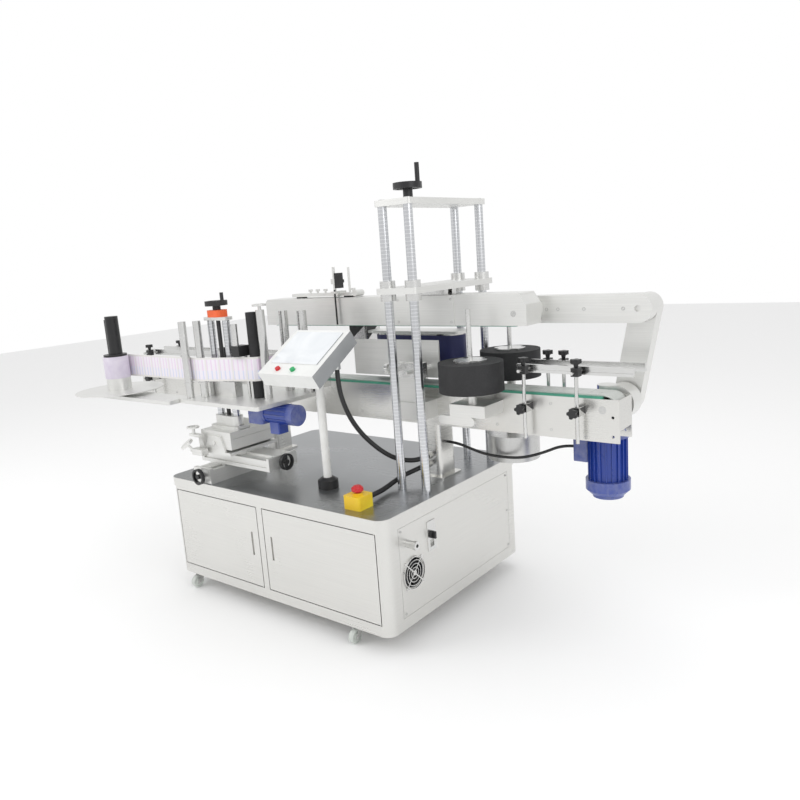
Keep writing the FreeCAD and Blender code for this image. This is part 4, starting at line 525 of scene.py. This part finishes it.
FINISHES = {
    "cabinet_shell": ("sheet_x", ("sheet_y", sideways)),
    "table_top": ("table", ("sheet_x", levels(400, 464))),
    "door_left": ("sheet_x",),
    "door_right": ("sheet_x",),
    "panel_fittings": ("bright",),
    "fan_rotor": ("black",),
    "power_switch": ("black",),
    "caster_mounts": ("bright",),
    "caster_fork_left": ("bright",),
    "caster_fork_right": ("bright",),
    "caster_wheel_front_left": ("grey_tread",),
    "caster_wheel_front_right": ("grey_tread",),
    "caster_wheel_rear_left": ("grey_tread",),
    "caster_wheel_rear_right": ("grey_tread",),
    "conveyor_frame": ("sheet_x", ("sheet_y", sideways), ("green", levels(800.2, 808))),
    "conveyor_chain": ("slats",),
    "sprocket_drive": ("machined",),
    "sprocket_tail": ("machined",),
    "drive_motor": ("motor", ("alu_x", within(1112, 1232, 200, 300, 705, 825))),
    "guide_rail_near": ("bright",),
    "guide_rail_far": ("bright",),
    "rail_clamps": ("black", ("bright", within(-FAR, FAR, 72, 86, 690, 860)),
                    ("bright", within(-FAR, FAR, 234, 248, 690, 860))),
    "column_frame": ("chrome", ("alu_x", levels(1426.9, 1448))),
    "lift_handwheel": ("black", ("chrome", levels(0, 1440))),
    "carriage_plate": ("alu_y", ("bright", levels(1165.1, 1300)), ("bright", levels(1000, 1144.9))),
    "press_beam": ("alu_x",),
    "press_belt": ("green",),
    "press_pulley": ("machined",),
    "upper_arm": ("alu_x",),
    "lower_arm": ("alu_x",),
    "sensor_bracket": ("alu_x", ("black", within(73, 99, -FAR, FAR, 1159, 1219)),
                       ("black", levels(1020, 1130))),
    "separator_wheel_near": ("foam", ("bright", levels(915.2, 1100)), ("bright", levels(690, 817.8))),
    "separator_wheel_far": ("foam", ("bright", levels(915.2, 1100)), ("bright", levels(690, 817.8))),
    "separator_stands": ("alu_x", ("machined", levels(500, 615))),
    "wrap_belt": ("blue_belt",),
    "wrap_station": ("alu_x", ("black", within(68, 162, 208, 304, 946, 1010)),
                     ("bright", within(-FAR, FAR, -FAR, FAR, 825, 976))),
    "press_plate": ("alu_x",),
    # the console's sides and back take the dark grey copy of its enamel, which is painted shade
    "console_box": ("console", ("screen", on_screen), ("console_shaded_side", off_face)),
    "console_post": ("rail", ("black", levels(464, 506))),
    "start_button": ("green_cap",),
    "stop_button": ("red",),
    "stop_box": ("yellow",),
    "stop_mushroom": ("red",),
    "slide_base": ("alu_y",),
    "slide_wheel_y": ("black",),
    "cross_slide": ("alu_x",),
    "slide_wheel_x": ("black",),
    "x_carriage": ("alu_x",),
    "head_mast": ("alu_x", ("chrome", levels(712.2, 1077.8)), ("orange", levels(1090.2, 1117))),
    "height_wheel": ("black",),
    "head_plate": ("alu_x", ("bright", levels(790, 1130)), ("black", within(-106, -60, -FAR, FAR, 945, 986))),
    "guide_roller_front": ("bright",),
    "guide_roller_rear": ("bright",),
    "traction_roller": ("foam",),
    "label_reel": ("alu_x", ("roll", within(-810, -704, -380, -272, 852.2, 941.9)),
                   ("black", levels(942.1, 1110))),
    "label_web": ("labels",),
    "label_motor": ("motor", ("alu_x", within(-62, -10, -216, -164, 690, 775))),
}

SIDE_PANEL_X, SIDE_PANEL_Y, SIDE_PANEL_Z = 0.642, (-0.250, 0.413), (0.118, 0.260, 0.402)
COVER_Y, COVER_X, COVER_Z = 0.107, (0.412, 0.640), (1.034, 1.112)
COLUMN_X, COLUMN_Y, TOP_PLATE_Z = (0.500, 0.605), (-0.050, 0.370), 1.447
ARM_Y, ARM_Z, ARM_SCREWS_X = 0.245, 1.060, (0.927, 0.968, 1.058, 1.187)
CONVEYOR_Y, CONVEYOR_Z = 0.110, (0.690, 0.775)
CONVEYOR_X = tuple(-1.20 + 0.20 * step for step in range(12))

UP, TOWARDS_OPERATOR, TO_RIGHT = (0.0, 0.0, 0.0), (math.pi / 2, 0.0, 0.0), (0.0, math.pi / 2, 0.0)

FASTENERS = [
    ("panel_screws", "machine_base", TO_RIGHT, 1.0,
     [(SIDE_PANEL_X, y, z) for y in SIDE_PANEL_Y for z in SIDE_PANEL_Z]),
    ("cover_screws", "press_unit", TOWARDS_OPERATOR, 1.0,
     [(x, COVER_Y, z) for x in COVER_X for z in COVER_Z]),
    ("column_screws", "machine_base", UP, 2.2, [(x, y, TOP_PLATE_Z) for x in COLUMN_X for y in COLUMN_Y]),
    ("arm_screws", "upper_arm", TOWARDS_OPERATOR, 1.3, [(x, ARM_Y, ARM_Z) for x in ARM_SCREWS_X]),
    ("conveyor_screws", "machine_base", TOWARDS_OPERATOR, 1.1,
     [(x, CONVEYOR_Y, z) for x in CONVEYOR_X for z in CONVEYOR_Z]),
]


def screw_tree():
    """Socket screws: a head with a recess at each point, all facing one way."""
    tree = bpy.data.node_groups.new("Socket screws", "GeometryNodeTree")
    for label, kind in (("Geometry", "NodeSocketGeometry"), ("Radius", "NodeSocketFloat"),
                        ("Height", "NodeSocketFloat"), ("Facing", "NodeSocketRotation"),
                        ("Material", "NodeSocketMaterial")):
        tree.interface.new_socket(label, in_out="INPUT", socket_type=kind)
    tree.interface.new_socket("Geometry", in_out="OUTPUT", socket_type="NodeSocketGeometry")
    source, result = add(tree, "NodeGroupInput"), add(tree, "NodeGroupOutput")
    head = add(tree, "GeometryNodeMeshCylinder")
    head.inputs["Vertices"].default_value = SCREW_SIDES
    link(tree, source.outputs["Radius"], head.inputs["Radius"])
    link(tree, source.outputs["Height"], head.inputs["Depth"])
    rim = add(tree, "GeometryNodeExtrudeMesh")
    rim.inputs["Offset Scale"].default_value = 0.0
    link(tree, head.outputs["Mesh"], rim.inputs["Mesh"])
    link(tree, head.outputs["Top"], rim.inputs["Selection"])
    narrow = add(tree, "GeometryNodeScaleElements")
    narrow.inputs["Scale"].default_value = RECESS_SHARE
    link(tree, rim.outputs["Mesh"], narrow.inputs["Geometry"])
    link(tree, rim.outputs["Top"], narrow.inputs["Selection"])
    recess = add(tree, "GeometryNodeExtrudeMesh")
    link(tree, narrow.outputs["Geometry"], recess.inputs["Mesh"])
    link(tree, rim.outputs["Top"], recess.inputs["Selection"])
    depth = math_node(tree, "MULTIPLY", source.outputs["Height"], -RECESS_DEPTH)
    link(tree, depth, recess.inputs["Offset Scale"])
    spread = add(tree, "GeometryNodeInstanceOnPoints")
    link(tree, source.outputs["Geometry"], spread.inputs["Points"])
    link(tree, recess.outputs["Mesh"], spread.inputs["Instance"])
    link(tree, source.outputs["Facing"], spread.inputs["Rotation"])
    real = add(tree, "GeometryNodeRealizeInstances")
    link(tree, spread.outputs["Instances"], real.inputs["Geometry"])
    paint = add(tree, "GeometryNodeSetMaterial")
    link(tree, real.outputs["Geometry"], paint.inputs["Geometry"])
    link(tree, source.outputs["Material"], paint.inputs["Material"])
    link(tree, paint.outputs["Geometry"], result.inputs["Geometry"])
    return tree


def screws(tree, name, body, facing, scale, points):
    mesh = bpy.data.meshes.new(name + "_points")
    mesh.from_pydata(points, [], [])
    seed = bpy.data.objects.new(name + "_points", mesh)
    bpy.context.collection.objects.link(seed)
    modifier = seed.modifiers.new("Screws", "NODES")
    modifier.node_group = tree
    ids = {s.name: s.identifier for s in tree.interface.items_tree if s.in_out == "INPUT"}
    modifier[ids["Radius"]] = sizes().screw_radius * scale
    modifier[ids["Height"]] = sizes().screw_height * scale
    modifier[ids["Facing"]] = Euler(facing)
    modifier[ids["Material"]] = MATERIALS["machined"]
    graph = bpy.context.evaluated_depsgraph_get()
    made = bpy.data.meshes.new_from_object(seed.evaluated_get(graph))
    bpy.data.objects.remove(seed)
    if not made.polygons:
        raise RuntimeError(f"{name} came out empty")
    obj = bpy.data.objects.new(name, made)
    bpy.context.collection.objects.link(obj)
    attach(obj, body)


CORDS = {
    "motor_lead": (0.005, False, [
        (555, 160, 592), (596, 160, 592), (645, 178, 570), (700, 190, 552), (770, 196, 548),
                                  (840, 202, 552), (906, 222, 572), (970, 254, 600), (1020, 254, 600)]),
    "console_conduit": (0.009, True, [(348, -168, 905), (348, -168, 845), (354, -158, 786), (366, -140, 726),
                                      (382, -112, 672), (404, -80, 626), (432, -50, 588), (464, -24, 564),
                                      (492, 10, 552), (505, 54, 546), (505, 98, 546)]),
    "stop_conduit": (0.009, True, [
        (482, -226, 484), (482, -182, 484), (475, -138, 481), (468, -94, 482), (465, -50, 488),
        (472, -8, 499), (490, 26, 508), (501, 62, 514), (501, 98, 514)]),
}


def spline(name, route):
    curve = bpy.data.curves.new(name, "CURVE")
    curve.dimensions = "3D"
    curve.resolution_u = 24
    line = curve.splines.new("NURBS")
    line.points.add(len(route) - 1)
    for point, place in zip(line.points, route):
        point.co = (*mm(*place), 1.0)
    line.order_u = 3
    line.use_endpoint_u = True
    return curve


def centreline(name, route):
    """Points along the smooth route, read from the spline with no thickness."""
    obj = bpy.data.objects.new(name + "_route", spline(name + "_route", route))
    bpy.context.collection.objects.link(obj)
    graph = bpy.context.evaluated_depsgraph_get()
    mesh = bpy.data.meshes.new_from_object(obj.evaluated_get(graph))
    points = [v.co.copy() for v in mesh.vertices]
    bpy.data.objects.remove(obj)
    return points


def even_steps(points, step):
    lengths = [0.0]
    for a, b in zip(points, points[1:]):
        lengths.append(lengths[-1] + (b - a).length)
    count = max(2, round(lengths[-1] / step))
    result, segment = [], 0
    for number in range(count + 1):
        target = lengths[-1] * number / count
        while segment < len(points) - 2 and lengths[segment + 1] < target:
            segment += 1
        span = lengths[segment + 1] - lengths[segment]
        result.append(points[segment].lerp(points[segment + 1], (target - lengths[segment]) / span))
    return result, lengths[-1]


def cable(name, radius, ribbed, route):
    """A cord along its route: smooth, or with the rounded ribs of a corrugated conduit."""
    pitch = sizes().conduit_pitch
    points, length = even_steps(centreline(name, route), pitch / STEPS_PER_RIB)
    sides = CABLE_SIDES
    bm = bmesh.new()
    rings = []
    normal = (points[1] - points[0]).orthogonal().normalized()
    for number, point in enumerate(points):
        ahead = points[min(number + 1, len(points) - 1)] - points[max(number - 1, 0)]
        ahead.normalize()
        normal = (normal - ahead * normal.dot(ahead)).normalized()
        across = ahead.cross(normal)
        end = number in (0, len(points) - 1)
        phase = 2 * math.pi * number / STEPS_PER_RIB
        dip = 0.0 if not ribbed or end else RIB_DIP * (0.5 + 0.5 * math.cos(phase))
        r = radius * (1 - dip)
        rings.append([bm.verts.new(point + (normal * math.cos(a) + across * math.sin(a)) * r)
                      for a in (2 * math.pi * k / sides for k in range(sides))])
    for a, b in zip(rings, rings[1:]):
        for k in range(sides):
            bm.faces.new((a[k], a[(k + 1) % sides], b[(k + 1) % sides], b[k]))
    bm.faces.new(list(reversed(rings[0])))
    bm.faces.new(rings[-1])
    obj = piece(name + "_cable", bm, "machine_base", "hose")
    for face in obj.data.polygons:
        face.use_smooth = len(face.vertices) == 4
    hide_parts(name)
    print(f"{name}: length {length * 1000:.1f} mm")


# ---------------------------------------------------------------- operators
class LABELLER_OT_finishes(bpy.types.Operator):
    """Build the finishes and give every part of the machine its own"""
    bl_idname = "labeller.finishes"
    bl_label = "Finishes"

    def execute(self, context):
        finish_library()
        for node, (default, *zones) in FINISHES.items():
            dress(node, default, *zones)
        left = set(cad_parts) - set(FINISHES) - set(CORDS)
        if left:
            raise RuntimeError(f"no finish for {sorted(left)}")
        return {"FINISHED"}


class LABELLER_OT_fasteners(bpy.types.Operator):
    """Set the socket screws into the panels, plates and arms"""
    bl_idname = "labeller.fasteners"
    bl_label = "Fasteners"

    def execute(self, context):
        tree = screw_tree()
        for row in FASTENERS:
            screws(tree, *row)
        return {"FINISHED"}


class LABELLER_OT_cables(bpy.types.Operator):
    """Lay the motor lead and the two corrugated conduits"""
    bl_idname = "labeller.cables"
    bl_label = "Cables"

    def execute(self, context):
        for name, (radius, ribbed, route) in CORDS.items():
            cable(name, radius, ribbed, route)
        return {"FINISHED"}


def lamp(name, place, target, size, power):
    light = bpy.data.lights.new(name, "AREA")
    light.size = size
    light.energy = power
    obj = bpy.data.objects.new(name, light)
    obj.location = place
    obj.rotation_euler = (Vector(target) - Vector(place)).to_track_quat("-Z", "Y").to_euler()
    bpy.context.collection.objects.link(obj)
    return obj


class LABELLER_OT_stage(bpy.types.Operator):
    """Make the floor, the lamps, the white surroundings and the camera"""
    bl_idname = "labeller.stage"
    bl_label = "Studio"

    def execute(self, context):
        scene = context.scene
        half = FLOOR_HALF
        mesh = bpy.data.meshes.new("floor")
        corners = [(-half, -half, 0), (half, -half, 0), (half, half, 0), (-half, half, 0)]
        mesh.from_pydata(corners, [], [(0, 1, 2, 3)])
        mat, tree, shader = new_material("Studio floor")
        shader.inputs["Base Color"].default_value = (FLOOR_GREY, FLOOR_GREY, FLOOR_GREY, 1.0)
        shader.inputs["Roughness"].default_value = 0.7
        mesh.materials.append(mat)
        floor = bpy.data.objects.new("floor", mesh)
        context.collection.objects.link(floor)
        world = bpy.data.worlds.new("Studio")
        scene.world = world
        world.use_nodes = True
        nodes = world.node_tree
        back = nodes.nodes["Background"]
        path = add(nodes, "ShaderNodeLightPath")
        back.inputs["Color"].default_value = (1.0, 1.0, 1.0, 1.0)
        link(nodes, remap(nodes, path.outputs["Is Camera Ray"], AMBIENT, BACKDROP), back.inputs["Strength"])
        lamps = [lamp(*row) for row in LAMPS]
        camera = bpy.data.cameras.new("camera")
        camera.lens, camera.sensor_width = CAMERA_LENS, CAMERA_SENSOR
        eye = bpy.data.objects.new("camera", camera)
        eye.location = CAMERA_PLACE
        eye.rotation_euler = tuple(math.radians(a) for a in CAMERA_TURN)
        context.collection.objects.link(eye)
        scene.camera = eye
        scene.view_settings.view_transform = "Standard"
        return {"FINISHED"}


STEPS = (LABELLER_OT_finishes, LABELLER_OT_fasteners, LABELLER_OT_cables, LABELLER_OT_stage)


class LABELLER_PT_panel(bpy.types.Panel):
    """The steps that dress the machine, in order"""
    bl_idname = "LABELLER_PT_panel"
    bl_label = "Bottle labelling machine"
    bl_space_type = "VIEW_3D"
    bl_region_type = "UI"
    bl_category = "Labeller"

    def draw(self, context):
        for name in LabellerSizes.__annotations__:
            self.layout.prop(context.scene.labeller_sizes, name)
        for name in LabellerColours.__annotations__:
            self.layout.prop(context.scene.labeller_colours, name)
        for step in STEPS:
            self.layout.operator(step.bl_idname)


CLASSES = (LabellerSizes, LabellerColours, *STEPS, LABELLER_PT_panel)


def register():
    for cls in CLASSES:
        bpy.utils.register_class(cls)
    bpy.types.Scene.labeller_sizes = PointerProperty(type=LabellerSizes)
    bpy.types.Scene.labeller_colours = PointerProperty(type=LabellerColours)


def unregister():
    del bpy.types.Scene.labeller_colours
    del bpy.types.Scene.labeller_sizes
    for cls in reversed(CLASSES):
        bpy.utils.unregister_class(cls)


def main():
    register()
    labeller = bpy.ops.labeller
    for step in (labeller.finishes, labeller.fasteners, labeller.cables, labeller.stage):
        if step() != {"FINISHED"}:
            raise RuntimeError(f"{step.idname()} did not finish")


if __name__ == "__main__":
    main()
